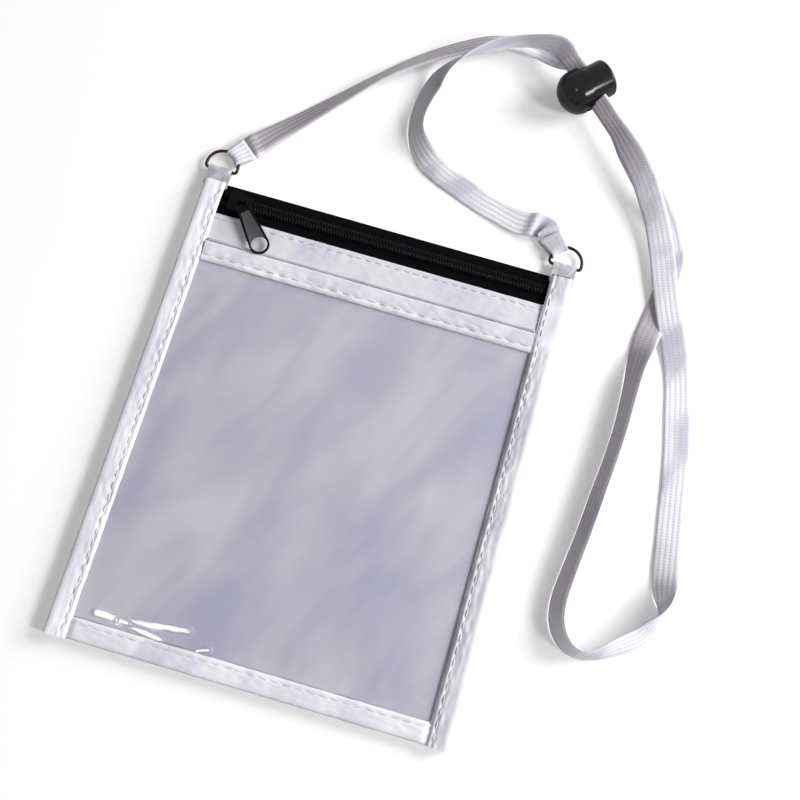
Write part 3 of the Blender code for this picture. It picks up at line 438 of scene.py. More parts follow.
def group_node(tree, name, **values):
    """The outputs of a shared group placed in a material with its own values."""
    if name not in GROUPS:
        GROUPS[name] = GROUP_MAKERS[name]()
    inputs = {key.replace("_", " ").capitalize(): value for key, value in values.items()}
    return add(tree, "ShaderNodeGroup", inputs, node_tree=GROUPS[name]).outputs


def new_material(name, **values):
    """A Principled material with constant values on its own sockets."""
    material = bpy.data.materials.new(name)
    material.use_nodes = True
    tree = material.node_tree
    shader = tree.nodes["Principled BSDF"]
    for key, value in values.items():
        shader.inputs[key.replace("_", " ")].default_value = value
    return material, tree, shader


def finish(tree, shader, base, height, rise, roughness=None):
    """Give a shader its colour, the bump of a height that rises so far, and a roughness that varies."""
    bump = add(tree, "ShaderNodeBump", {"Height": height, "Distance": rise, "Strength": 1.0})
    tree.links.new(base, shader.inputs["Base Color"])
    tree.links.new(bump.outputs[0], shader.inputs["Normal"])
    if roughness is not None:
        tree.links.new(roughness, shader.inputs["Roughness"])


def tone(colour, share):
    """A colour made darker or lighter by a share."""
    return tuple(min(1.0, part * share) for part in colour)


def cloth_material(name, colour, shade, crumple=60.0, bump=0.05 * MM, roughness=0.5, patches=85.0, spare=1.4):
    """Coated woven cloth with a faint sheen and cooler creased patches."""
    material, tree, shader = new_material(name, Roughness=roughness, Sheen_Weight=0.15, Sheen_Roughness=0.4,
                                          Specular_IOR_Level=0.3)
    weave = group_node(tree, "woven", threads=4200.0, crumple_size=crumple)
    creased = calc(tree, "POWER", group_node(tree, "cloud", size=patches, contrast=3.2)[0], spare)
    soft = colour_mix(tree, creased, colour, shade)
    fine = colour_mix(tree, calc(tree, "MULTIPLY", weave["Shade"], 0.25), soft, (1.0, 1.0, 1.0))
    finish(tree, shader, fine, weave["Height"], bump)
    return material


def vinyl_material(cloth):
    """Soft clear vinyl: hazy, smooth, with clouds where it clings to the cloth behind."""
    material, tree, shader = new_material("clear_vinyl_film", Coat_Weight=0.8, Coat_Roughness=0.03,
                                          Specular_IOR_Level=0.12)
    cloud = group_node(tree, "cloud", size=34.0, contrast=2.4)[0]
    smudge = group_node(tree, "handling", smudges=60.0)["Smudge"]
    red, green, blue = cloth.vinyl_tint
    clear, clouded = (red * 0.74, green * 0.72, blue * 0.84), (red * 1.12, green * 1.12, blue * 1.04)
    tree.links.new(calc(tree, "MULTIPLY_ADD", cloud, 0.10, cloth.vinyl_haze), shader.inputs["Alpha"])
    tree.links.new(calc(tree, "MULTIPLY_ADD", smudge, 0.12, 0.26), shader.inputs["Roughness"])
    tree.links.new(colour_mix(tree, cloud, clear, clouded), shader.inputs["Base Color"])
    return material


def braid_material(strap):
    """Soft white braid with painted shade in its furrows, worn patches and stretches of painted shade."""
    material, tree, shader = new_material("white_ribbed_braid", Roughness=0.85, Sheen_Weight=0.35,
                                          Sheen_Roughness=0.5, Specular_IOR_Level=0.2)
    braid = group_node(tree, "braid", ribs=float(strap.ribs), stitches=5200.0)
    cloud = group_node(tree, "cloud", size=44.0, contrast=5.5)[0]
    worn = calc(tree, "MULTIPLY", calc(tree, "POWER", cloud, 1.5), 0.80)
    clean = colour_mix(tree, braid["Shade"], tone(strap.braid_colour, 0.92), tone(strap.braid_colour, 1.12))
    patchy = colour_mix(tree, worn, clean, tuple(strap.patch_colour))
    # Painted shade over the stretches chosen along the strap, kept on its points
    painted_shade = calc(tree, "MULTIPLY", add(tree, "ShaderNodeAttribute", attribute_name="Painted shade").outputs["Fac"], 0.8)
    base = colour_mix(tree, painted_shade, patchy, tone(strap.painted_shade_colour, 0.8))
    # Painted shade in the furrows between the ribs
    dark = colour_mix(tree, braid["Furrow"], base, tone(strap.braid_colour, 0.66))
    finish(tree, shader, dark, braid["Height"], 0.06 * MM)
    return material


def thread_material(name, colour):
    """Twisted sewing thread, darker in the grooves of its twist as painted shade."""
    material, tree, shader = new_material(name, Roughness=0.55, Sheen_Weight=0.3)
    ply_and_shade = add(tree, "ShaderNodeTexWave", {"Vector": object_place(tree), "Scale": 900.0, "Distortion": 1.5},
              bands_direction="DIAGONAL").outputs["Fac"]
    finish(tree, shader, colour_mix(tree, ply_and_shade, tone(colour, 0.8), colour), ply_and_shade, 0.04 * MM)
    return material


def tape_material(colour):
    """Black herringbone zip tape."""
    material, tree, shader = new_material("black_zip_tape", Roughness=0.95, Sheen_Weight=0.015,
                                          Specular_IOR_Level=0.04)
    weave = group_node(tree, "woven", threads=6500.0, crumple_size=300.0)
    base = colour_mix(tree, weave["Shade"], tone(colour, 0.4), tone(colour, 2.0))
    finish(tree, shader, base, weave["Height"], 0.10 * MM)
    return material


def hard_material(name, colour, lift, marks, smudge, smooth, grain, **values):
    """Metal or moulded plastic with fine scratches, smudges that make it rougher and a slight grain."""
    material, tree, shader = new_material(name, **values)
    scratches, smudges = marks
    found = group_node(tree, "handling", scratches=scratches, smudges=smudges)
    base = colour_mix(tree, found["Scratch"], colour, tone(colour, lift))
    roughness = calc(tree, "MULTIPLY_ADD", found["Smudge"], smudge, smooth)
    finish(tree, shader, base, found["Grain"], grain, roughness)
    return material


def metal_material(name, colour, roughness, metallic, lift=2.0, coat=0.1):
    """Painted, plated or bare metal, or nylon where it isn't metallic."""
    return hard_material(name, colour, lift, (420.0, 240.0), 0.25, roughness - 0.12, 0.015 * MM,
                         Metallic=metallic, Coat_Weight=coat, Coat_Roughness=0.18, Specular_IOR_Level=0.04)


def floor_material():
    """A plain pale floor that the camera sees as white, with the shadows on it."""
    material, tree, shader = new_material("pale_floor", Roughness=0.9, Specular_IOR_Level=0.1,
                                          Emission_Color=(1.0, 1.0, 1.0, 1.0))
    fleck = add(tree, "ShaderNodeTexNoise", {"Scale": 40.0, "Detail": 3.0}).outputs["Fac"]
    pale = colour_mix(tree, fleck, (0.86, 0.86, 0.86), (0.88, 0.88, 0.88))
    tree.links.new(pale, shader.inputs["Base Color"])
    tree.links.new(calc(tree, "MULTIPLY", seen_plain(tree), 0.20), shader.inputs["Emission Strength"])
    return material


MATERIALS = {}


def materials():
    """All finishes, made once."""
    if MATERIALS:
        return MATERIALS
    cloth, zipper, strap = settings("cloth"), settings("zip"), settings("strap")
    white, shade = tuple(cloth.cloth_colour), tuple(cloth.shade_colour)
    MATERIALS.update(
        cloth=cloth_material("white_coated_cloth", white, shade),
        panel=cloth_material("panel_cloth", tuple(cloth.panel_colour), shade, 35.0, roughness=0.6,
                             patches=36.0),
        # The header strip's cloth is the white cloth made darker, as painted shade
        header=cloth_material("shaded_header_cloth", tone(white, 0.82), tone(shade, 0.9)),
        # Dark cloth for the thin tubes of painted shade along edges and creases
        crease=cloth_material("creased_cloth", (0.30, 0.29, 0.36), (0.14, 0.13, 0.17)),
        soft_crease=cloth_material("softly_creased_cloth", (0.40, 0.39, 0.48), (0.30, 0.29, 0.37)),
        # The tabs' cloth is the white cloth made darker, as painted shade, with denser creased patches
        tab=cloth_material("creased_tab_cloth", tone(white, 0.85), tone(shade, 0.42), 260.0, 0.12 * MM,
                           patches=330.0, spare=0.7),
        vinyl=vinyl_material(cloth),
        braid=braid_material(strap),
        # The white thread is greyed here as painted shade where the stitches sink into the cloth; the hem's
        # pale thread is lighter
        thread=thread_material("shaded_white_thread", (0.60, 0.59, 0.68)),
        pale_thread=thread_material("pale_thread", (0.74, 0.72, 0.74)),
        tape=tape_material(tuple(zipper.tape_colour)),
        coil=metal_material("black_nylon_coil", (0.005, 0.005, 0.006), 0.42, 0.0, 1.5, 0.05),
        metal=metal_material("black_painted_metal", tuple(zipper.metal_colour), 0.3, 0.0, 2.0, 0.07),
        face=metal_material("worn_pull_face", tuple(zipper.face_colour), 0.45, 0.8, 1.5, 0.0),
        wire=metal_material("dark_bronze_wire", tuple(strap.ring_colour), 0.36, 1.0, 1.6),
        plastic=hard_material("black_moulded_plastic", tuple(strap.lock_colour), 3.0, (300.0, 130.0), 0.2,
                              0.08, 0.006 * MM, Coat_Weight=0.50, Coat_Roughness=0.18,
                              Specular_IOR_Level=0.0),
        steel=metal_material("bright_spring_wire", (0.55, 0.55, 0.56), 0.3, 1.0, 1.2),
        floor=floor_material(),
    )
    return MATERIALS


def piece(name, shape, look, uv=None, sharp=None, painted_shade=None):
    """A mesh object from points and faces, with an optional U, V and amount of painted shade for each point.
    """
    points, faces = shape
    mesh = bpy.data.meshes.new(name)
    mesh.from_pydata([tuple(float(v) for v in p) for p in points], [], faces)
    mesh.update()
    if uv is not None:
        layer = mesh.uv_layers.new(name="Braid")
        for loop in mesh.loops:
            layer.data[loop.index].uv = uv[loop.vertex_index]
    if painted_shade is not None:
        mesh.attributes.new("Painted shade", "FLOAT", "POINT").data.foreach_set("value", painted_shade)
    mesh.shade_smooth()
    if sharp is not None:
        mesh.set_sharp_from_angle(angle=math.radians(sharp))
    item = bpy.data.objects.new(name, mesh)
    mesh.materials.append(materials()[look])
    bpy.context.scene.collection.objects.link(item)
    return item


def dress(item, *nodes, body="pouch", slot="white_nylon"):
    """Let a piece ride on its body and stand for its nodes; its slot is not used."""
    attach(item, body)
    if nodes:
        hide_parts(*nodes)
    return item


def sewn(name, shape, look, *nodes, slot="white_nylon", sharp=None):
    """A piece of the pouch."""
    return dress(piece(name, shape, look, sharp=sharp), *nodes, slot=slot)


def loft(rings, capped=True, joined=False):
    """Points and quads of a skin over equal rings."""
    count = len(rings[0])
    faces = []
    for j in range(len(rings) if joined else len(rings) - 1):
        a, b = j * count, (j + 1) % len(rings) * count
        faces += [(a + i, a + (i + 1) % count, b + (i + 1) % count, b + i) for i in range(count)]
    if capped and not joined:
        for base, order in ((0, -1), ((len(rings) - 1) * count, 1)):
            for i in range(count // 2 - 1):
                faces.append((base + i, base + i + 1, base + count - 2 - i, base + count - 1 - i)[::order])
    return [p for ring in rings for p in ring], faces


def slab(xs, ys, top, thickness=CLOTH):
    """A closed cloth sheet whose upper face follows a height rule."""
    rings = []
    for y in ys:
        row = [(x, y, top(x, y)) for x in xs]
        rings.append(row + [(x, y, z - thickness) for x, y, z in reversed(row)])
    return loft(rings)


def tube(path, radius, sides=8, joined=False, radii=None):
    """A round tube along a path, turned as little as possible."""
    path = [Vector(p) for p in path]
    count = len(path)
    turns = [math.tau * k / sides for k in range(sides)]
    rings = []
    side = None
    for i, point in enumerate(path):
        ahead = path[(i + 1) % count] if joined or i + 1 < count else point
        behind = path[i - 1] if joined or i > 0 else point
        along = (ahead - behind).normalized()
        side = side or along.orthogonal().normalized()
        side = (side - along * side.dot(along)).normalized()
        up = along.cross(side)
        size = radii[i] if radii else radius
        rings.append([point + (side * math.cos(a) + up * math.sin(a)) * size for a in turns])
    return loft(rings, joined=joined)


def prism(outline, low, high):
    """A flat outline, drawn anticlockwise, made thick."""
    count = len(outline)
    faces = [tuple(reversed(range(count))), tuple(range(count, 2 * count))]
    faces += [(i, (i + 1) % count, count + (i + 1) % count, count + i) for i in range(count)]
    return [(x, y, z) for z in (low, high) for x, y in outline], faces


def lathe(profile, sides=96):
    """A profile turned about the X axis, both its ends on the axis."""
    turns = [math.tau * k / sides for k in range(sides)]
    points, faces = loft([[(x, r * math.cos(a), r * math.sin(a)) for a in turns] for x, r in profile[1:-1]],
                         capped=False)
    base, first = len(points) - sides, len(points)
    for k in range(sides):
        j = (k + 1) % sides
        faces += [(first, j, k), (first + 1, base + k, base + j)]
    return points + [(profile[0][0], 0.0, 0.0), (profile[-1][0], 0.0, 0.0)], faces


def bend(centre, radius, start, end, steps):
    """Points of an arc from one heading to another, in degrees."""
    angles = [math.radians(start + (end - start) * k / steps) for k in range(steps + 1)]
    return [(centre[0] + radius * math.cos(a), centre[1] + radius * math.sin(a)) for a in angles]


def headings(line):
    """The direction of a line at each of its points."""
    points = [Vector(point) for point in line]
    before, after = points[:1] + points[:-1], points[1:] + points[-1:]
    return [(b - a).normalized() for a, b in zip(before, after)]


def spread(low, high, step):
    """Evenly spaced values from low to high, about a step apart."""
    return list(np.linspace(low, high, max(2, round(abs(high - low) / step) + 1)))


def modify(item, kind, **values):
    """Apply one modifier to a piece for good."""
    change = item.modifiers.new(kind, kind)
    for key, value in values.items():
        setattr(change, key, value)
    bpy.context.view_layer.update()
    shaped = bpy.data.meshes.new_from_object(item.evaluated_get(bpy.context.evaluated_depsgraph_get()))
    item.modifiers.clear()
    item.data = shaped


def carve(item, shape):
    """Take a closed shape out of a piece."""
    tool = piece("carving_tool", shape, "metal")
    tool.data.shade_flat()
    tool.data.materials[0] = item.data.materials[0]
    modify(item, "BOOLEAN", object=tool, operation="DIFFERENCE", solver="EXACT")
    bpy.data.objects.remove(tool)


def soften(item, width, place):
    """Round a piece's edges a little and move its shape to its place."""
    modify(item, "BEVEL", width=width, segments=3, limit_method="ANGLE", angle_limit=math.radians(32.0),
           harden_normals=True)
    item.data.shade_smooth()
    item.data.transform(place)
    item.data.update()
    return item


def seam(name, start, end, pitch, top, seed, thin=1.0, look="thread"):
    """A seam: thread loops on a height rule, each a short arch between two needle holes."""
    radius = settings("cloth").thread_radius * thin
    start, end = Vector((*start, 0.0)), Vector((*end, 0.0))
    along = (end - start).normalized()
    across = Vector((-along.y, along.x, 0.0))
    points, faces = [], []
    for k in range(int((end - start).length / pitch)):
        wobble = 0.10 * MM * noise.noise(Vector((k * 0.73, seed, 0.0)))
        skew = 0.16 * MM * noise.noise(Vector((k * 0.41, seed, 5.0)))
        path, radii = [], []
        for t in (i / 4 - 1.0 for i in range(9)):
            spot = start + along * pitch * (k + 0.5 + STITCH_SHARE / 2 * t) + across * (wobble + skew * t)
            bow = 1.0 - abs(t) ** 4
            rise = radius * (0.75 * bow - STITCH_SAG * (1.0 - bow))
            path.append((spot.x, spot.y, top(spot.x, spot.y) + rise))
            radii.append(radius * (0.55 + 0.45 * bow))
        loop, links = tube(path, radius, radii=radii)
        faces += [tuple(len(points) + i for i in face) for face in links]
        points += loop
    return sewn(name, (points, faces), look)


def sewn_height(s, offset, pitch, pucker, seed):
    """Height of cloth near a seam: a furrow under the thread and gathers that fade away from it."""
    gather = wave(s, offset * 2.0, 3.4 * MM, seed) + 0.6 * wave(s, offset, 9.0 * MM, seed + 9.0)
    near = math.exp(-(offset / (3.2 * MM)) ** 2)
    phase = abs(math.cos(math.pi * s / pitch))
    furrow = math.exp(-(offset / (0.55 * MM)) ** 2) * (0.55 + 0.45 * phase)
    return pucker * (gather * (0.35 + 0.65 * near) - 0.9 * furrow)


def seen_plain(tree):
    """One where the camera sees a backdrop, straight or in a reflection or through something clear."""
    path = add(tree, "ShaderNodeLightPath").outputs
    shown = calc(tree, "MAXIMUM", path["Is Camera Ray"], path["Is Glossy Ray"])
    return calc(tree, "MAXIMUM", shown, path["Is Transmission Ray"])


def stand(name, data, place, turn):
    """Put a camera or a lamp in the scene."""
    item = bpy.data.objects.new(name, data)
    item.location = place
    item.rotation_euler = turn
    bpy.context.scene.collection.objects.link(item)
    return item


class WALLET_OT_stage(Operator):
    """Set up the camera, the lamps, the pale floor and the sky"""

    bl_idname = "wallet.stage"
    bl_label = "Stage"

    def execute(self, context):
        stage = settings("stage")
        context.scene.view_settings.view_transform = "Standard"
        camera = bpy.data.cameras.new("photo_camera")
        camera.lens = stage.lens
        camera.sensor_width = 36.0
        camera.clip_start = 0.01
        context.scene.camera = stand("photo_camera", camera, stage.camera_place, stage.camera_turn)
        for name, place, aim, size, strength in (
            ("key_lamp", (1.30, -0.22, 0.92), (0.02, 0.03, 0.0), (0.30, 0.30), stage.key_power),
            ("soft_lamp", (1.18, 0.70, 0.66), (0.0, 0.0, 0.0), (0.85, 0.85), stage.soft_power),
            ("glint_lamp", GLINT_LAMP, (-0.045, -0.09, 0.0), (0.19, 0.06), stage.glint_power),
        ):
            light = bpy.data.lights.new(name, "AREA")
            light.shape = "RECTANGLE"
            light.size, light.size_y = size
            light.energy = strength
            stand(name, light, place, (Vector(place) - Vector(aim)).to_track_quat("Z", "Y").to_euler())
        reach, level = 1.5, -0.02 * MM
        corners = [(x * reach, y * reach, level) for x, y in ((-1, -1), (1, -1), (1, 1), (-1, 1))]
        piece("floor", (corners, [(0, 1, 2, 3)]), "floor")
        self.sky(context.scene, stage.sky)
        return {"FINISHED"}

    def sky(self, scene, strength):
        world = bpy.data.worlds.new("pale_sky")
        world.use_nodes = True
        scene.world = world
        tree = world.node_tree
        shader = tree.nodes["Background"]
        shader.inputs["Color"].default_value = (1.0, 1.0, 1.0, 1.0)
        level = calc(tree, "MULTIPLY_ADD", seen_plain(tree), 1.0 - strength, strength)
        tree.links.new(level, shader.inputs["Strength"])


def back_top(x, y):
    """Upper face of the back cloth, which rises to its edges in the bindings."""
    inside = min(FACE_X - 2.4 * MM - abs(x), y - HEM_HIGH.y - 2.4 * MM, BACK_HIGH.y - 2.4 * MM - y)
    sag = 0.25 * MM * (0.5 + 0.5 * wave(x, y, 22.0 * MM, 3.0)) * smoothstep(inside / (8.0 * MM))
    return CLOTH + smoothstep(-inside / (2.4 * MM)) * 0.75 * MM + sag


def front_top(x, y):
    """Upper face of the front cloth, in soft waves behind the window."""
    inside = min(FACE_X - abs(x), y - HEM_HIGH.y, BAND_LOW.y - y)
    swell = 0.18 * MM * wave(x, y, 24.0 * MM, 11.0, 1.8, 55.0)
    return FRONT_HIGH.z + smoothstep(inside / (16.0 * MM)) * swell


def header_top(x, y):
    """Upper face of the header strip, gathered along its seam and rolled over at its top."""
    roll = smoothstep((y - (FRONT_HIGH.y - 0.8 * MM)) / (0.8 * MM))
    tuck = smoothstep((BAND_HIGH.y + 1.6 * MM - y) / (3.0 * MM))
    sway = 0.18 * MM * wave(x, y, 14.0 * MM, 21.0, 2.0, 8.0)
    sway += 0.5 * MM * (FRONT_HIGH.y - y) / (FRONT_HIGH.y - BAND_HIGH.y)
    pucker = settings("cloth").pucker * 0.8
    gather = sewn_height(x, y - FRONT_HIGH.y + HEADER_SEAM_INSET, HEADER_PITCH, pucker, 5.0)
    return FRONT_HIGH.z + 0.45 * MM + sway + gather - 0.45 * MM * roll - 0.35 * MM * tuck


def stretched(name, node, xs, ys, top, thickness, look, slot="white_nylon"):
    """A sheet that is held flat by the seams round it and stands for its node."""
    item = sewn(name, slab(xs, ys, top, thickness), look, node, slot=slot, sharp=50.0)


class WALLET_OT_panels(Operator):
    """Make the cloth back and front of the pouch, and the strip between the zip and the window"""

    bl_idname = "wallet.panels"
    bl_label = "Panels"

    def execute(self, context):
        xs = spread(-BACK_HIGH.x, BACK_HIGH.x, 2.2 * MM)
        ys = spread(BACK_LOW.y, BACK_HIGH.y, 2.2 * MM)
        stretched("back_cloth", "back_panel", xs, ys, back_top, CLOTH, "cloth")
        ys = spread(FRONT_LOW.y, FRONT_HIGH.y, 1.6 * MM)
        stretched("front_cloth", "front_panel", xs, ys, front_top, CLOTH, "panel")
        reach = FACE_X + 1.2 * MM
        ys = spread(BAND_HIGH.y - 2.5 * MM, FRONT_HIGH.y, 0.45 * MM)
        strip = slab(spread(-reach, reach, 0.9 * MM), ys, header_top, 0.35 * MM)
        sewn("header_strip", strip, "header", sharp=50.0)
        line = FRONT_HIGH.y - HEADER_SEAM_INSET
        seam("header_seam", (-reach, line), (reach, line), HEADER_PITCH, header_top, 2.0)
        return {"FINISHED"}


def mirror_slope(x, y):
    """Slopes of the vinyl that send the glint lamp into the camera."""
    spot = Vector((x, y, WINDOW_HIGH.z))
    half = (settings("stage").camera_place - spot).normalized() + (Vector(GLINT_LAMP) - spot).normalized()
    return -half.x / half.z, -half.y / half.z


def leaned(x, y, height):
    """Lean the vinyl towards the lamp at its glints and leave it as it is elsewhere."""
    total, share, level = 0.0, 0.0, 0.0
    for x0, y0, x1, y1, half in GLINTS:
        dx, dy = x1 - x0, y1 - y0
        t = min(1.0, max(0.0, ((x - x0) * dx + (y - y0) * dy) / (dx * dx + dy * dy)))
        off = math.hypot(x - x0 - dx * t, y - y0 - dy * t)
        held = 1.0 - smoothstep((off - half * (1.0 + 0.35 * wave(x, y, 3.0 * MM, 55.0))) / (0.4 * MM))
        if held > 0.0:
            middle_x, middle_y = (x0 + x1) / 2, (y0 + y1) / 2
            slope_x, slope_y = mirror_slope(middle_x, middle_y)
            total += held
            share = max(share, held)
            level += held * (WINDOW_LOW.z + 0.55 * MM + slope_x * (x - middle_x) + slope_y * (y - middle_y))
    return height + (level / total - height) * share if total else height


def window_top(x, y):
    """Upper face of the vinyl: crowned, softly waved, and puckered where it is sewn."""
    inside = min(FACE_X - abs(x), y - HEM_HIGH.y, BAND_LOW.y - y)
    soft = smoothstep(inside / (14.0 * MM))
    edge = smoothstep(inside / (5.0 * MM)) * (1.0 - smoothstep((inside - 5.0 * MM) / (14.0 * MM)))
    broad = wave(x, y, 26.0 * MM, 1.0, 1.7, 58.0) + 0.4 * wave(x, y, 12.0 * MM, 4.0, 1.6, 40.0)
    s = y if FACE_X - abs(x) < y - HEM_HIGH.y else x
    pucker = 0.16 * MM * wave(s, 0.0, 5.0 * MM, 7.0)
    crown = soft * (0.35 * MM + settings("cloth").ripple * 0.8 * broad)
    height = WINDOW_LOW.z + 0.3 * MM + crown + edge * pucker
    return leaned(x, y, height) if y < HEM_HIGH.y + 12.0 * MM else height


class WALLET_OT_window(Operator):
    """Make the clear vinyl window"""

    bl_idname = "wallet.window"
    bl_label = "Window"

    def execute(self, context):
        glints = HEM_HIGH.y + 9.0 * MM
        ys = spread(WINDOW_LOW.y, glints, 0.35 * MM) + spread(glints, WINDOW_HIGH.y, 0.9 * MM)[1:]
        xs = spread(WINDOW_LOW.x, WINDOW_HIGH.x, 0.7 * MM)
        stretched("vinyl_window", "window_sheet", xs, ys, window_top, 0.25 * MM, "vinyl", "clear_vinyl")
        return {"FINISHED"}


def pull_pressed(s):
    """One where the right binding lies flat under the pull when the zip is open."""
    low, high = PULL_REST
    return smoothstep((s - low) / PULL_REST_FADE + 1.0) * smoothstep((high - s) / PULL_REST_FADE + 1.0)


def lap_top(s, u, width, tilt, seed, pucker, stitch_at):
    """Upper face of a binding's lap: puffed, gathered along its seam, and turned down at its inner edge."""
    puff = 0.40 * MM * (0.5 + 0.5 * wave(s, u, 15.0 * MM, seed + 6.0, 1.0, 25.0))
    gather = sewn_height(s, u - stitch_at, settings("cloth").stitch_pitch, pucker, seed)
    lip = max(0.0, u - width + LIP_WIDTH) / LIP_WIDTH
    shape = puff + gather + tilt * (1.0 - u / width) - puff * lip
    pressed = pull_pressed(s) if tilt > 1.0 * MM else 0.0
    return THICKNESS + LAP_RISE + shape * (1.0 - 0.9 * pressed) - 0.2 * MM * pressed - LIP_DROP * lip * lip


def channel(ss, place, width, seed, height):
    """A folded binding: place maps (s, u, z) to a point, u running in from the fold."""
    half = THICKNESS / 2
    rings = []
    for s in ss:
        outer, inner = [], []
        lap = width + 0.16 * MM * wave(s, 0.0, 9.0 * MM, seed + 3.0)
        for i in range(LAP_STEPS + 1):
            u = lap - (lap - half) * i / LAP_STEPS
            z = height(s, u, lap)
            outer.append(place(s, u, z))
            inner.append(place(s, u, z - BINDING_CLOTH))
        middle = z / 2
        bulge = 0.10 * MM * wave(s, 3.0, 12.0 * MM, seed + 12.0)
        for i in range(1, FOLD_STEPS):
            angle = math.radians(90.0 + 180.0 * i / FOLD_STEPS)
            across = -abs(math.cos(angle)) ** 0.5
            up = math.copysign(abs(math.sin(angle)) ** 0.5, math.sin(angle))
            for row, inset in ((outer, TABLE_GAP), (inner, TABLE_GAP + BINDING_CLOTH)):
                row.append(place(s, half + bulge * across * across + (half - inset) * across,
                                 middle + (middle - inset) * up))
        for i in range(UNDER_STEPS + 1):
            u = half + (width - half) * i / UNDER_STEPS
            z = TABLE_GAP + 0.1 * MM * (0.5 + 0.5 * wave(s, u, 8.0 * MM, seed + 15.0))
            outer.append(place(s, u, z))
            inner.append(place(s, u, z + BINDING_CLOTH))
        rings.append(outer + inner[::-1])
    return loft(rings)


def bound(name, node, ends, place, width, tilt, seed, inset, share=1.0):
    """Make a folded binding and hand back the height rule of its lap."""
    pucker = settings("cloth").pucker * share

    def height(s, u, lap=width):
        return lap_top(s, u, lap, tilt, seed, pucker, width - inset)

    shape = channel(spread(*ends, 0.6 * MM), place, width, seed, height)
    sewn(name, shape, "cloth", node, sharp=60.0)
    return height


def side_binding(name, side, tilt, seed):
    """A side binding with its seam, and a dark tube of painted shade at its end over the ring's tab."""
    height = bound(name + "_binding_tape", name + "_side_binding", (LOW_Y, TOP_Y),
                   lambda s, u, z: (side * (SIDE_X - u), s, z), SIDE_X - FACE_X, tilt, seed, SIDE_SEAM_INSET)

    def top(x, y):
        return height(y, SIDE_X - abs(x))

    line = side * (FACE_X + SIDE_SEAM_INSET)
    seam(name + "_binding_seam", (line, LOW_Y + 1.5 * MM), (line, TOP_Y - 1.0 * MM),
         settings("cloth").stitch_pitch, top, seed)
    # A dark tube of painted shade along the tab's end, where it meets the binding
    path = [(x, TOP_Y + 0.1 * MM, top(x, TOP_Y) - 0.25 * MM)
            for x in np.linspace(side * (SIDE_X - 0.9 * MM), side * (FACE_X + 0.3 * MM), 24)]
    sewn(name + "_tab_crease", tube(path, 0.40 * MM), "crease")


def bottom_binding():
    """The binding of the closed end, its ends tucked into the side bindings."""
    reach, sewn_reach = SIDE_X - 1.7 * MM, FACE_X + 1.2 * MM

    def low(x):
        tucked = 0.14 * smoothstep((abs(x) - FACE_X + 2.5 * MM) / (3.0 * MM))
        return 1.0 - tucked - 0.10 * smoothstep((abs(x) - FACE_X - 1.0 * MM) / (3.0 * MM))

    height = bound("hem_tape", "bottom_binding", (-reach, reach), lambda s, u, z: (s, LOW_Y + u, z * low(s)),
                   HEM_HIGH.y - LOW_Y, 0.0, 90.0, HEM_SEAM_INSET, 0.6)
    line = HEM_HIGH.y - HEM_SEAM_INSET
    seam("hem_seam", (-sewn_reach, line), (sewn_reach, line), settings("cloth").stitch_pitch,
         lambda x, y: height(x, y - LOW_Y) * low(x), 90.0, 0.75, "pale_thread")


def window_band():
    """The binding over the window's upper edge, its upper side sloping down behind its roll."""
    pucker = settings("cloth").pucker
    reach = FACE_X - SEAT_GAP
    low, high = BAND_LOW.y, BAND_HIGH.y
    line = low + BAND_SEAM_INSET

    def top(x, y):
        roll = smoothstep((y - (high - 1.0 * MM)) / (1.0 * MM))
        lip = max(0.0, low + LIP_WIDTH - y) / LIP_WIDTH
        sway = 0.22 * MM * wave(x, y, 14.0 * MM, 44.0, 2.0) + 1.0 * MM * max(0.0, y - line) / (high - line)
        gather = sewn_height(x, y - line, BAND_PITCH, pucker, 40.0)
        return BAND_HIGH.z + 0.25 * MM + sway + gather - 1.6 * MM * roll - 0.45 * MM * lip ** 2

    shape = slab(spread(-reach, reach, 0.8 * MM), spread(low, high, 0.4 * MM), top, BINDING_CLOTH)
    sewn("window_band_tape", shape, "cloth", "window_top_binding", sharp=50.0)
    seam("window_band_seam", (-reach, line), (reach, line), BAND_PITCH, top, 44.0)


def painted_shade_lines():
    """Thin dark tubes of painted shade where the vinyl meets the bindings, and above the window's band."""
    reach, end_y = FACE_X - 0.6 * MM, LOW_Y + 1.0 * MM
    hem_y, header_y = HEM_HIGH.y + 0.12 * MM, BAND_HIGH.y + 0.3 * MM
    left_x, right_x = -reach - 1.75 * MM, reach + 0.4 * MM
    # Tubes of painted shade: name, start, end, lift and radius in millimetres, and finish
    rows = (
        ("hem_shade_line", (-reach, hem_y), (reach, hem_y), -0.35, 0.24, "crease"),
        ("left_shade_line", (left_x, end_y), (left_x, TOP_Y - 1.0 * MM), 0.28, 0.30, "soft_crease"),
        ("right_shade_line", (right_x, end_y), (right_x, FRONT_HIGH.y), -0.35, 0.3, "crease"),
        ("header_shade_line", (-reach, header_y), (reach, header_y), 0.15, 0.55, "soft_crease"),
    )
    for seed, (name, start, end, lift, radius, look) in enumerate(rows, 8):
        path = []
        for x, y in zip(np.linspace(start[0], end[0], 161), np.linspace(start[1], end[1], 161)):
            sway = 0.12 * MM * wave(x, y, 9.0 * MM, seed)
            path.append((x + sway * (start[0] == end[0]), y + sway * (start[1] == end[1]),
                         THICKNESS + lift * MM + sway))
        sewn(name, tube(path, radius * MM), look)


class WALLET_OT_bindings(Operator):
    """Make the folded bindings round the sides, the closed end and the window's mouth"""

    bl_idname = "wallet.bindings"
    bl_label = "Bindings"

    def execute(self, context):
        side_binding("left", -1, 0.9 * MM, 30.0)
        side_binding("right", 1, 1.5 * MM, 60.0)
        bottom_binding()
        window_band()
        painted_shade_lines()
        return {"FINISHED"}


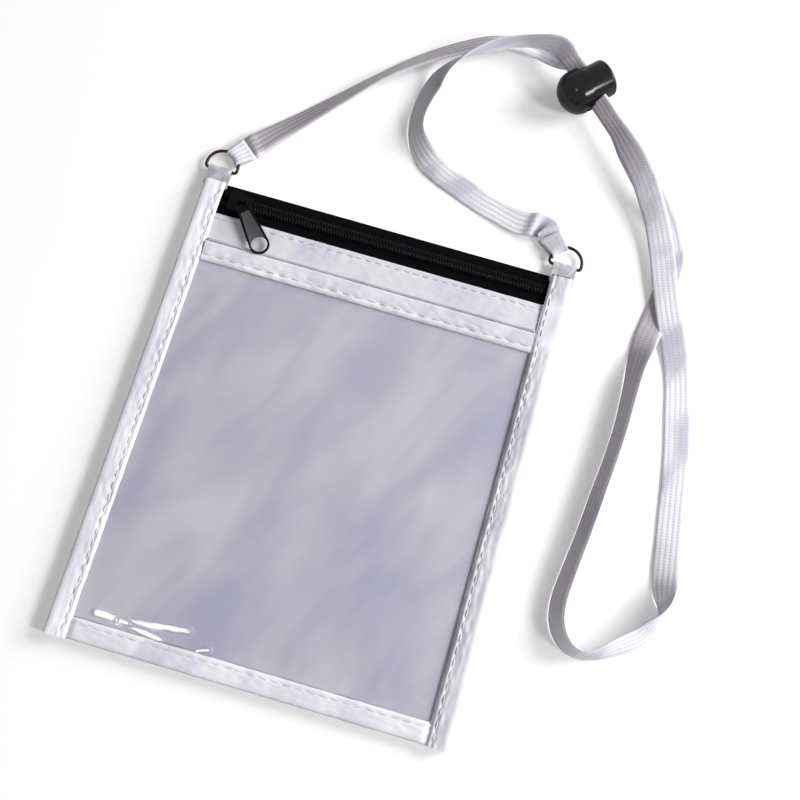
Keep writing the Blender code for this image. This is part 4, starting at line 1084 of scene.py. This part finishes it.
def chain_part(x):
    """How far each chain half stands off the middle: nothing when closed, more past the slider."""
    start = SLIDER_X + SLIDER_LENGTH / 2
    return POST_REACH * smoothstep((start - x) / (SLIDER_LENGTH - POST_LENGTH))


def slider_half(x, extra=0.0):
    """Half the slider's width at a distance from its middle."""
    return CHAIN_HALF_WIDTH + SEAT_GAP + chain_part(SLIDER_X + x) + extra


def slider_outline():
    """The slider seen from above, its corners rounded and its nose rounded more."""
    half = SLIDER_LENGTH / 2
    back, nose = SLIDER_FLANGE, 2 * SLIDER_FLANGE
    upper = bend((half - back, slider_half(half - back)), back, 0.0, 90.0, 6)
    upper += [(x, slider_half(x, SLIDER_FLANGE)) for x in spread(half - back, nose - half, 0.7 * MM)[1:-1]]
    upper += bend((nose - half, slider_half(nose - half, SLIDER_FLANGE) - nose), nose, 90.0, 180.0, 8)
    return upper + [(x, -y) for x, y in reversed(upper)]


def pull_outline(inset, start):
    """The pull seen from above, its bar at the origin and its round end out along +X."""
    radius = PULL_END_RADIUS - inset
    half = PULL_NECK_WIDTH / 2 - inset
    lean = math.degrees(math.atan2(radius - half, PULL_LENGTH))
    points = [(start, 0.2 * MM - half), (start + 0.2 * MM, -half)]
    points += bend((PULL_LENGTH, 0.0), radius, -90.0 - lean, 90.0 + lean, 40)
    return points + [(start + 0.2 * MM, half), (start, half - 0.2 * MM)]


def zip_slider():
    """A cap over the chain with a wire bail on it, and a plate and post beneath."""
    place = Matrix.Translation((SLIDER_X, ZIP_Y, 0.0))
    half = SLIDER_LENGTH / 2
    cap = piece("slider_cap", prism(slider_outline(), CHAIN_LOW.z, SLIDER_TOP), "metal")
    edge = [(x, slider_half(x)) for x in spread(half + 1.0 * MM, -half - 1.0 * MM, 0.6 * MM)]
    way = edge + [(x, -y) for x, y in reversed(edge)]
    carve(cap, prism(way, CHAIN_LOW.z - 1.0 * MM, SLIDER_TOP - SLIDER_PLATE))
    dress(soften(cap, 0.22 * MM, place), "zip_slider", body="slider", slot="black_metal")
    nose, step = SLIDER_FLANGE - half, POST_LENGTH / 3
    wedge = [(nose, 0.3 * MM), (nose, -0.3 * MM), (nose + step, -0.6 * MM), (nose + POST_LENGTH, 0.0),
             (nose + step, 0.6 * MM)]
    for name, outline, low, high, round_edge in (
        ("slider_base", slider_outline(), SLIDER_LOW.z, SLIDER_LOW.z + SLIDER_PLATE, 0.15 * MM),
        ("slider_post", wedge, SLIDER_LOW.z + SLIDER_PLATE / 2, SLIDER_TOP - SLIDER_PLATE / 2, 0.08 * MM),
    ):
        item = soften(piece(name, prism(outline, low, high), "metal"), round_edge, place)
        dress(item, body="slider", slot="black_metal")
    top = PULL_Z + PULL_THICKNESS / 2 + 0.3 * MM + BAIL_RADIUS
    corner, foot = 0.9 * MM, SLIDER_TOP - 0.3 * MM
    arch = [(-BAIL_HALF_SPAN, foot)] + bend((corner - BAIL_HALF_SPAN, top - corner), corner, 180.0, 90.0, 8)
    arch += bend((BAIL_HALF_SPAN - corner, top - corner), corner, 90.0, 0.0, 8) + [(BAIL_HALF_SPAN, foot)]
    bail = tube([(SLIDER_X + x, ZIP_Y, z) for x, z in arch], BAIL_RADIUS, 14)
    dress(piece("slider_bail", bail, "metal"), body="slider", slot="black_metal")


def zip_pull():
    """The pull: a tapered plate with raised rims, a slot for the bail and a round hole."""
    half = PULL_THICKNESS / 2
    plate = piece("pull_tab", prism(pull_outline(0.0, -PULL_BAR / 2), -half, half), "metal")
    plate.data.materials.append(materials()["face"])
    near, (length, width) = PULL_BAR / 2, PULL_SLOT
    slot = [(near, -width / 2), (near + length, -width / 2), (near + length, width / 2), (near, width / 2)]
    hole = bend((PULL_LENGTH, 0.0), PULL_HOLE_RADIUS, 0.0, 354.0, 59)
    face = pull_outline(PULL_RIM, near + length + PULL_RIM)
    for outline, low, high in ((slot, -1.0 * MM, 1.0 * MM), (hole, -1.0 * MM, 1.0 * MM),
                               (face, half - PULL_RECESS, 1.0 * MM), (face, -1.0 * MM, PULL_RECESS - half)):
        carve(plate, prism(outline, low, high))
    soften(plate, 0.09 * MM, Matrix.Identity(4))
    for side in plate.data.polygons:
        level = half - PULL_RECESS - abs(side.center.z)
        side.material_index = 1 if abs(level) < 0.02 * MM and abs(side.normal.z) > 0.9 else 0
    turn = Matrix.Rotation(math.radians(PULL_HEADING), 4, "Z")
    plate.data.transform(Matrix.Translation((SLIDER_X, ZIP_Y, PULL_Z)) @ turn)
    dress(plate, "zip_pull", body="pull", slot="black_metal")


def tape_top(x, y):
    """Upper face of the zip tapes, in fine ribs along the zip."""
    ribs = 0.05 * MM * math.sin((y - ZIP_Y) * math.tau / (1.3 * MM))
    return UPPER_TAPE_HIGH.z + ribs + 0.04 * MM * wave(x, y, 6.0 * MM, 70.0)


def zip_tapes():
    """Both tapes, and the cloth stops at the ends of the chain."""
    reach = UPPER_TAPE_HIGH.x
    xs = spread(-reach, reach, 0.8 * MM)
    for name, low, high in (("upper", UPPER_TAPE_LOW.y, UPPER_TAPE_HIGH.y),
                            ("lower", LOWER_TAPE_LOW.y, LOWER_TAPE_HIGH.y)):
        sewn(name + "_zip_tape", slab(xs, spread(low, high, 0.3 * MM), tape_top), "tape", "zip_tape_" + name,
             slot="black_tape", sharp=50.0)
    ys = spread(ZIP_Y - 1.9 * MM, ZIP_Y + 1.9 * MM, 0.3 * MM)
    for name, low, high in (("closed_end_stop", -reach + 2.0 * MM, SLIDER_LOW.x - 0.6 * MM),
                            ("open_end_stop", CHAIN_HIGH.x - 1.5 * MM, reach - 2.0 * MM)):
        shape = slab(spread(low, high, 0.4 * MM), ys, lambda x, y: tape_top(x, y) + 0.2 * MM)
        sewn(name, shape, "tape", slot="black_tape", sharp=50.0)


def zip_coils():
    """Both chain halves as wound wire; the part calls the half on the lower tape zip_chain_upper."""
    zipper = settings("zip")
    reach = CHAIN_HIGH.x - 0.4 * MM
    middle_z = (CHAIN_LOW.z + CHAIN_HIGH.z) / 2
    high = (CHAIN_HIGH.z - CHAIN_LOW.z) / 2 - zipper.coil_wire
    for name, side, node in (("upper_coil", 1, "zip_chain_lower"), ("lower_coil", -1, "zip_chain_upper")):
        path = []
        for k in range(int(2 * reach / zipper.coil_pitch) * COIL_STEPS + 1):
            x = -reach + zipper.coil_pitch * (k / COIL_STEPS + (0.5 if side > 0 else 0.0))
            if x > reach:
                break
            turn = math.tau * k / COIL_STEPS
            y = ZIP_Y + side * (COIL_MIDDLE + chain_part(x) - COIL_REACH * math.cos(turn))
            path.append((x + COIL_SLANT * math.sin(2 * turn), y, middle_z + high * math.sin(turn)))
        sewn(name, tube(path, zipper.coil_wire), "coil", node, slot="black_nylon")


class WALLET_OT_zip(Operator):
    """Make the zip: tapes, coils, slider and pull"""

    bl_idname = "wallet.zip"
    bl_label = "Zip"

    def execute(self, context):
        zip_tapes()
        zip_coils()
        zip_slider()
        zip_pull()
        return {"FINISHED"}


def hinge_place(name):
    """Where a ring is hinged."""
    return next(Vector(joint["pos_m"]) for joint in frame["joints"] if joint["name"] == name + "_ring_hinge")


def ring_outline():
    """The D of the ring from its bar, as flat points."""
    inner = RING_RADIUS - RING_CORNER
    points = bend((-inner, RING_CORNER), RING_CORNER, 270.0, 180.0, 6)
    points += bend((0.0, RING_LEG), RING_RADIUS, 180.0, 0.0, 32)
    return points + bend((inner, RING_CORNER), RING_CORNER, 0.0, -90.0, 6)


def ring_tab(name, hinge):
    """A cloth loop round the ring's bar, pressed together above the binding."""
    low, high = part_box(name + "_ring_tab")
    root = hinge.y - (TOP_Y + 0.2 * MM)
    rise = [(-root * (1 - t), TAB_TIP + (TAB_RADIUS - TAB_TIP) * smoothstep(t), 0.4 * MM * (1 - t))
            for t in (0.2, 0.4, 0.6, 0.8)]
    line = [(-root - 2.4 * MM, 0.6 * MM - TAB_TIP), (-root, 0.5 * MM - TAB_TIP)]
    line += [(u, lift - z) for u, z, lift in rise] + bend((0.0, 0.0), TAB_RADIUS, -90.0, 90.0, 12)
    line += [(u, lift + z) for u, z, lift in reversed(rise)]
    line += [(-root, TAB_TIP + 0.5 * MM), (-root - 2.4 * MM, TAB_TIP + 0.6 * MM)]
    offset = BINDING_CLOTH / 2
    rings = []
    for j in range(15):
        x = hinge.x + (high.x - low.x) / 2 * (j / 7 - 1.0)
        out, back = [], []
        for (u, z), way in zip(line, headings(line)):
            outward = offset + 0.12 * MM * wave(x, u, 4.0 * MM, 80.0 + hinge.x * 100)
            out.append((x, hinge.y + u + way.y * outward, hinge.z + z - way.x * outward))
            back.append((x, hinge.y + u - way.y * offset, hinge.z + z + way.x * offset))
        rings.append(out + back[::-1])
    sewn(name + "_tab_loop", loft(rings), "tab", name + "_ring_tab", sharp=60.0)


class WALLET_OT_rings(Operator):
    """Make the wire rings and the cloth tabs that hold them"""

    bl_idname = "wallet.rings"
    bl_label = "Rings and tabs"

    def execute(self, context):
        for name in ("left", "right"):
            hinge = hinge_place(name)
            path = [hinge + Vector((x, y, 0.0)) for x, y in ring_outline()]
            item = piece(name + "_wire_ring", tube(path, WIRE_RADIUS, 14, joined=True), "wire")
            dress(item, name + "_d_ring", body=name + "_ring", slot="dark_bronze")
            ring_tab(name, hinge)
        return {"FINISHED"}


def braid_section(steps=31):
    """The strap's section: halves of its width and thickness, the depth of its ribs, and its U."""
    strap = settings("strap")
    upper = []
    for i in range(steps):
        u = -1.0 + 2.0 * i / (steps - 1)
        body = (1.0 - abs(u) ** 7) ** 0.5
        rib = abs(math.sin(math.pi * strap.ribs * (u + 1.0) / 2)) - 1.0
        upper.append((u, body, rib * strap.rib_depth * body, (u + 1.0) / 2))
    return upper + [(u, -v, -d, t) for u, v, d, t in reversed(upper[1:-1])]


def lock_ways():
    """Directions of the lock: along the strap and square to the strap's face."""
    angle, lean = math.radians(LOCK_HEADING), math.radians(LOCK_LEAN)
    along = Vector((math.cos(angle), math.sin(angle), 0.0))
    barrel = Vector((-math.sin(angle), math.cos(angle), 0.0))
    return along, Vector((0.0, 0.0, math.cos(lean))) - barrel * math.sin(lean)


def smooth_route(points, step):
    """Read evenly spaced points from a smooth curve through a strap's own points."""
    padded = [points[0] * 2 - points[1]] + points + [points[-1] * 2 - points[-2]]
    route = []
    for i in range(1, len(padded) - 2):
        a, b, c, d = padded[i - 1:i + 3]
        pieces = max(1, round((c - b).xyz.length / step))
        for t in (k / pieces for k in range(pieces)):
            route.append(0.5 * (2 * b + (c - a) * t + (2 * a - 5 * b + 4 * c - d) * t * t
                                + (3 * b - a - 3 * c + d) * t * t * t))
    return route + [points[-1]]


def table_points(rows):
    """Strap points at the height where the lower edge lies on the table."""
    points = []
    for x, y, lift, lean in rows:
        angle = math.radians(lean)
        rest = abs(math.sin(angle)) * STRAP_WIDTH / 2 + abs(math.cos(angle)) * STRAP_THICKNESS / 2
        points.append(Vector((x * MM, y * MM, rest + lift * MM, lean)))
    return points


def gathered(point):
    """How much the lock has gathered the strap at a point."""
    offset = point.xyz - LOCK_MIDDLE
    travel = offset.dot(lock_ways()[0])
    past = max(-travel - KNOB_RADIUS, travel - KNOB_RADIUS - LOCK_TRAVEL, 0.0)
    aside = offset.xy.length > LOCK_TRAVEL + KNOB_RADIUS + GATHER_LENGTH
    return 0.0 if aside else smoothstep(1.0 - past / GATHER_LENGTH)


def ring_exit(name, heading):
    """Where a strap end stops, and the way it points."""
    angle = math.radians(heading)
    return hinge_place(name) + Vector((0.0, RING_LEG, 0.0)), Vector((math.cos(angle), math.sin(angle), 0.0))


def ribbon(name, points, seed, dulled, folds=(0, 0.0, 1.0)):
    """A ribbed flat braid along its points, with the small wobbles of a soft strap, folds at its start and
    stretches of painted shade, each from one share of its length to another."""
    count, rise, pitch = folds
    route = smooth_route(points, 1.3 * MM)
    path = [point.xyz for point in route]
    rings, uv, painted_shade = [], [], []
    run = 0.0
    for i, (point, along) in enumerate(zip(route, headings(path))):
        level = along.cross(Vector((0.0, 0.0, 1.0))).normalized()
        angle = math.radians(point[3])
        width = level * math.cos(angle) + level.cross(along) * math.sin(angle)
        face = along.cross(width)
        amount = gathered(point)
        half = (STRAP_WIDTH + (GATHERED_WIDTH - STRAP_WIDTH) * amount) / 2
        half *= 1.0 + 0.03 * wave(run, 0.0, 17.0 * MM, seed)
        thick = (STRAP_THICKNESS + (GATHERED_THICKNESS - STRAP_THICKNESS) * amount) / 2
        run += (path[i] - path[max(i - 1, 0)]).length
        cup = 0.25 * MM * wave(run, 0.0, 24.0 * MM, seed + 4.0) * (1.0 - amount)
        share = i / len(route)
        # How much painted shade darkens the strap here, by the stretches given
        worn = max(depth * smoothstep((share - low) / 0.05) * smoothstep((high - share) / 0.07)
                   for low, high, depth in dulled)
        ring = []
        for u, v, rib, across in braid_section():
            fold_run = run + 1.3 * MM * u
            fold = 0.5 - 0.5 * math.cos(math.tau * (fold_run + 0.8 * MM) / pitch)
            fold *= rise * smoothstep(run / (1.6 * MM)) * smoothstep((count * pitch - fold_run) / pitch)
            spot = path[i] + width * (half * u) + face * (thick * v + rib + cup * (1.0 - u * u))
            ring.append(spot + Vector((0.0, 0.0, fold)))
            uv.append((across, run))
            # The painted shade stops short of the strap's far edge, which stays light
            painted_shade.append(worn * smoothstep((0.92 - across) / 0.12))
        rings.append(ring)
    return piece(name, loft(rings), "braid", uv=uv, painted_shade=painted_shade), path


def strap_end(name, heading):
    """The end of the strap, folded round the ring's bow and sewn down on itself."""
    middle, way = ring_exit(name, heading)
    across = Vector((-way.y, way.x, 0.0))
    radius = WIRE_RADIUS + 0.25 * MM + STRAP_THICKNESS / 2
    tip = STRAP_THICKNESS / 2 + 0.02 * MM
    side = [(STRAP_END_LENGTH * i / 6, tip + (radius - tip) * smoothstep(1 - i / 6)) for i in range(1, 7)]
    line = [(u, -z) for u, z in reversed(side)] + bend((0.0, 0.0), radius, 270.0, 90.0, 14) + side
    rings, uv = [], []
    run = 0.0
    for i, ((u, z), slope) in enumerate(zip(line, headings(line))):
        past = max(0.0, u) / STRAP_END_LENGTH
        broad = STRAP_END_WIDTH + (STRAP_WIDTH - STRAP_END_WIDTH) * past
        run += (Vector(line[i]) - Vector(line[max(i - 1, 0)])).length
        ring = []
        for a, v, rib, share in braid_section():
            bow = math.sqrt(RING_RADIUS ** 2 - (a * STRAP_END_WIDTH / 2) ** 2)
            shift = (bow - RING_RADIUS) * (1.0 - past)
            thick = STRAP_THICKNESS / 2 * v + rib
            spot = middle + way * (RING_RADIUS + u + shift - slope.y * thick) + across * (a * broad / 2)
            ring.append(spot + Vector((0.0, 0.0, z + slope.x * thick)))
            uv.append((share, run))
        rings.append(ring)
    item = piece("folded_end_" + name, loft(rings), "braid", uv=uv)
    dress(item, "strap_end_" + name, body=name + "_ring", slot="white_braid")


class WALLET_OT_strap(Operator):
    """Make the braided strap: its two sewn ends, its two runs and its loop"""

    bl_idname = "wallet.strap"
    bl_label = "Strap"

    def execute(self, context):
        along, face = lock_ways()
        offset = face * (GATHERED_THICKNESS + SEAT_GAP) / 2
        near = KNOB_RADIUS + STRAP_CLEARANCE
        far = near + LOCK_TRAVEL
        flat = 180.0 - LOCK_LEAN

        def held(side, travel, lean):
            return Vector((*(LOCK_MIDDLE + offset * side + along * travel), lean))

        stops = [SEAT_GAP / 2, near, far, far + LOCK_LEAD]
        loop = [held(1, stop, flat) for stop in stops] + table_points(LOOP_ROUTE)
        loop += [held(-1, stop, LOCK_LEAN) for stop in reversed(stops)]
        # Stretches of painted shade along the loop: from one share of its length to another, and how dark
        dulled = ((-1.0, 0.12, 0.9), (0.50, 0.86, 0.8), (0.88, 2.0, 0.8))
        item, path = ribbon("loop_braid", loop, 300.0, dulled)
        dress(item, "strap_loop", slot="white_braid")
        # Each run: name, side, heading, points, lean in the lock, folds, and its stretches of painted shade
        for name, side, heading, rows, lean, folds, dulled in (
            ("left", -1, LEFT_HEADING, LEFT_ROUTE, -LOCK_LEAN, (1, 1.1 * MM, 6.0 * MM), ((-1.0, 0.74, 1.0),)),
            ("right", 1, RIGHT_HEADING, RIGHT_ROUTE, flat, (2, 2.2 * MM, 6.5 * MM),
             ((0.38, 0.70, 0.35), (0.86, 2.0, 1.0))),
        ):
            middle, way = ring_exit(name, heading)
            start = middle + way * (RING_RADIUS + STRAP_END_LENGTH + SEAT_GAP)
            run = [Vector((*start, 0.0)), Vector((*(start + way * STRAP_LEAD), 0.0))] + table_points(rows)
            run += [held(side, -stop, lean) for stop in (near + LOCK_LEAD, near, SEAT_GAP / 2)]
            item, path = ribbon(name + "_run_braid", run, side * 50.0, dulled, folds)
            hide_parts("strap_" + name + "_run")
            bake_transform(item)
            strap_end(name, heading)
        return {"FINISHED"}


def pierced(name, profile, slot, stack, travel, place):
    """A turned moulding with the strap's leaning way cut through it."""
    lean = math.radians(LOCK_LEAN)
    width, height = slot + travel * math.cos(lean) / 2, stack + travel * math.sin(lean) / 2
    corners = [(u * math.cos(lean) - v * math.sin(lean) - travel / 2, u * math.sin(lean) + v * math.cos(lean))
               for u, v in ((width, -height), (width, height), (-width, height), (-width, -height))]
    points, faces = prism(corners, -KNOB_RADIUS - 1.0 * MM, KNOB_RADIUS + 1.0 * MM)
    item = piece(name, lathe(profile), "plastic")
    carve(item, ([(x, -y, z) for x, z, y in points], faces))
    return soften(item, 0.18 * MM, place)


def lock_spring(low, high, radius, place):
    """The coil spring between the button's dome and the barrel, which shortens as the button goes in."""
    steps = 28 * SPRING_TURNS
    path = []
    for k in range(steps + 1):
        turn = math.tau * SPRING_TURNS * k / steps
        path.append((low + (high - low) * k / steps, radius * math.cos(turn), radius * math.sin(turn)))
    item = piece("spring_coil", tube(path, SPRING_WIRE, 10), "steel")
    item.data.transform(place)
    dress(item, "cord_lock_spring", body="lock", slot="spring_steel")
    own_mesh(item)


class WALLET_OT_lock(Operator):
    """Make the cord lock: its barrel, its domed button and its spring"""

    bl_idname = "wallet.lock"
    bl_label = "Cord lock"

    def execute(self, context):
        place = Matrix.Translation(LOCK_MIDDLE) @ Matrix.Rotation(math.radians(LOCK_HEADING + 90.0), 4, "Z")
        lean = math.radians(LOCK_LEAN)
        slot = GATHERED_WIDTH / 2 + STRAP_CLEARANCE
        stack = GATHERED_THICKNESS + SEAT_GAP / 2 + STRAP_CLEARANCE
        reach = slot * math.cos(lean) + stack * math.sin(lean) + 1.0 * MM
        bore = STEM_RADIUS + SEAT_GAP
        radius = KNOB_RADIUS - KNOB_WALL - SEAT_GAP
        bore_end = reach + BUTTON_TRAVEL + SEAT_GAP
        end, edge = bore_end + 1.0 * MM, 1.2 * MM
        profile = [(bore_end, 0.0), (bore_end, bore), (-reach, bore), (-reach, radius)]
        profile += bend((end - edge, radius - edge), edge, 90.0, 0.0, 8) + [(end, 0.0)]
        barrel = pierced("lock_barrel", profile, slot, stack, 0.0, place)
        dress(barrel, "cord_lock_barrel", body="lock", slot="black_plastic")

        inner, inner_dome = KNOB_RADIUS - KNOB_WALL, KNOB_DOME - KNOB_WALL

        def dome(at):
            """How far inside the dome's middle its inner face lies at a radius."""
            return inner_dome * math.sqrt(1.0 - (at / inner) ** 2)

        dome_x = dome(radius) - reach - BUTTON_TRAVEL - SEAT_GAP
        rise = [math.radians(90.0 * k / 28) for k in range(29)]
        profile = [(dome_x - KNOB_DOME * math.cos(a), KNOB_RADIUS * math.sin(a)) for a in rise]
        profile += [(KNOB_SKIRT - reach, KNOB_RADIUS), (KNOB_SKIRT - reach, inner)]
        profile += [(dome_x - inner_dome * math.cos(a), inner * math.sin(a)) for a in reversed(rise)
                    if inner * math.sin(a) > STEM_RADIUS]
        profile += [(dome_x - dome(STEM_RADIUS), STEM_RADIUS), (reach, STEM_RADIUS), (reach, 0.0)]
        button = pierced("lock_button", profile, slot, stack, BUTTON_TRAVEL, place)
        dress(button, "cord_lock_button", body="button", slot="black_plastic")
        coil, room = bore + SEAT_GAP + SPRING_WIRE, SPRING_WIRE + SEAT_GAP
        lock_spring(dome_x - dome(coil + SPRING_WIRE) + room, -reach - room, coil, place)
        return {"FINISHED"}


SETTINGS = {"cloth": ClothSettings, "zip": ZipSettings, "strap": StrapSettings, "stage": StageSettings}
OPERATORS = (WALLET_OT_stage, WALLET_OT_panels, WALLET_OT_window, WALLET_OT_bindings, WALLET_OT_zip,
             WALLET_OT_rings, WALLET_OT_strap, WALLET_OT_lock)


class WALLET_PT_sidebar(Panel):
    """Lists the pieces of the wallet and their settings"""

    bl_label = "Neck Wallet"
    bl_idname = "WALLET_PT_sidebar"
    bl_space_type = "VIEW_3D"
    bl_region_type = "UI"
    bl_category = "Neck Wallet"

    def draw(self, context):
        for name in SETTINGS:
            box = self.layout.box()
            for field in SETTINGS[name].__annotations__:
                box.prop(settings(name), field)
        for operator in OPERATORS:
            self.layout.operator(operator.bl_idname)


def register():
    for name, group in SETTINGS.items():
        bpy.utils.register_class(group)
        setattr(bpy.types.Scene, "wallet_" + name, PointerProperty(type=group))
    for item in OPERATORS + (WALLET_PT_sidebar,):
        bpy.utils.register_class(item)


def unregister():
    for item in reversed(OPERATORS + (WALLET_PT_sidebar,)):
        bpy.utils.unregister_class(item)
    for name, group in reversed(SETTINGS.items()):
        delattr(bpy.types.Scene, "wallet_" + name)
        bpy.utils.unregister_class(group)


def main():
    register()
    for operator in OPERATORS:
        group, name = operator.bl_idname.split(".")
        getattr(getattr(bpy.ops, group), name)()


if __name__ == "__main__":
    main()
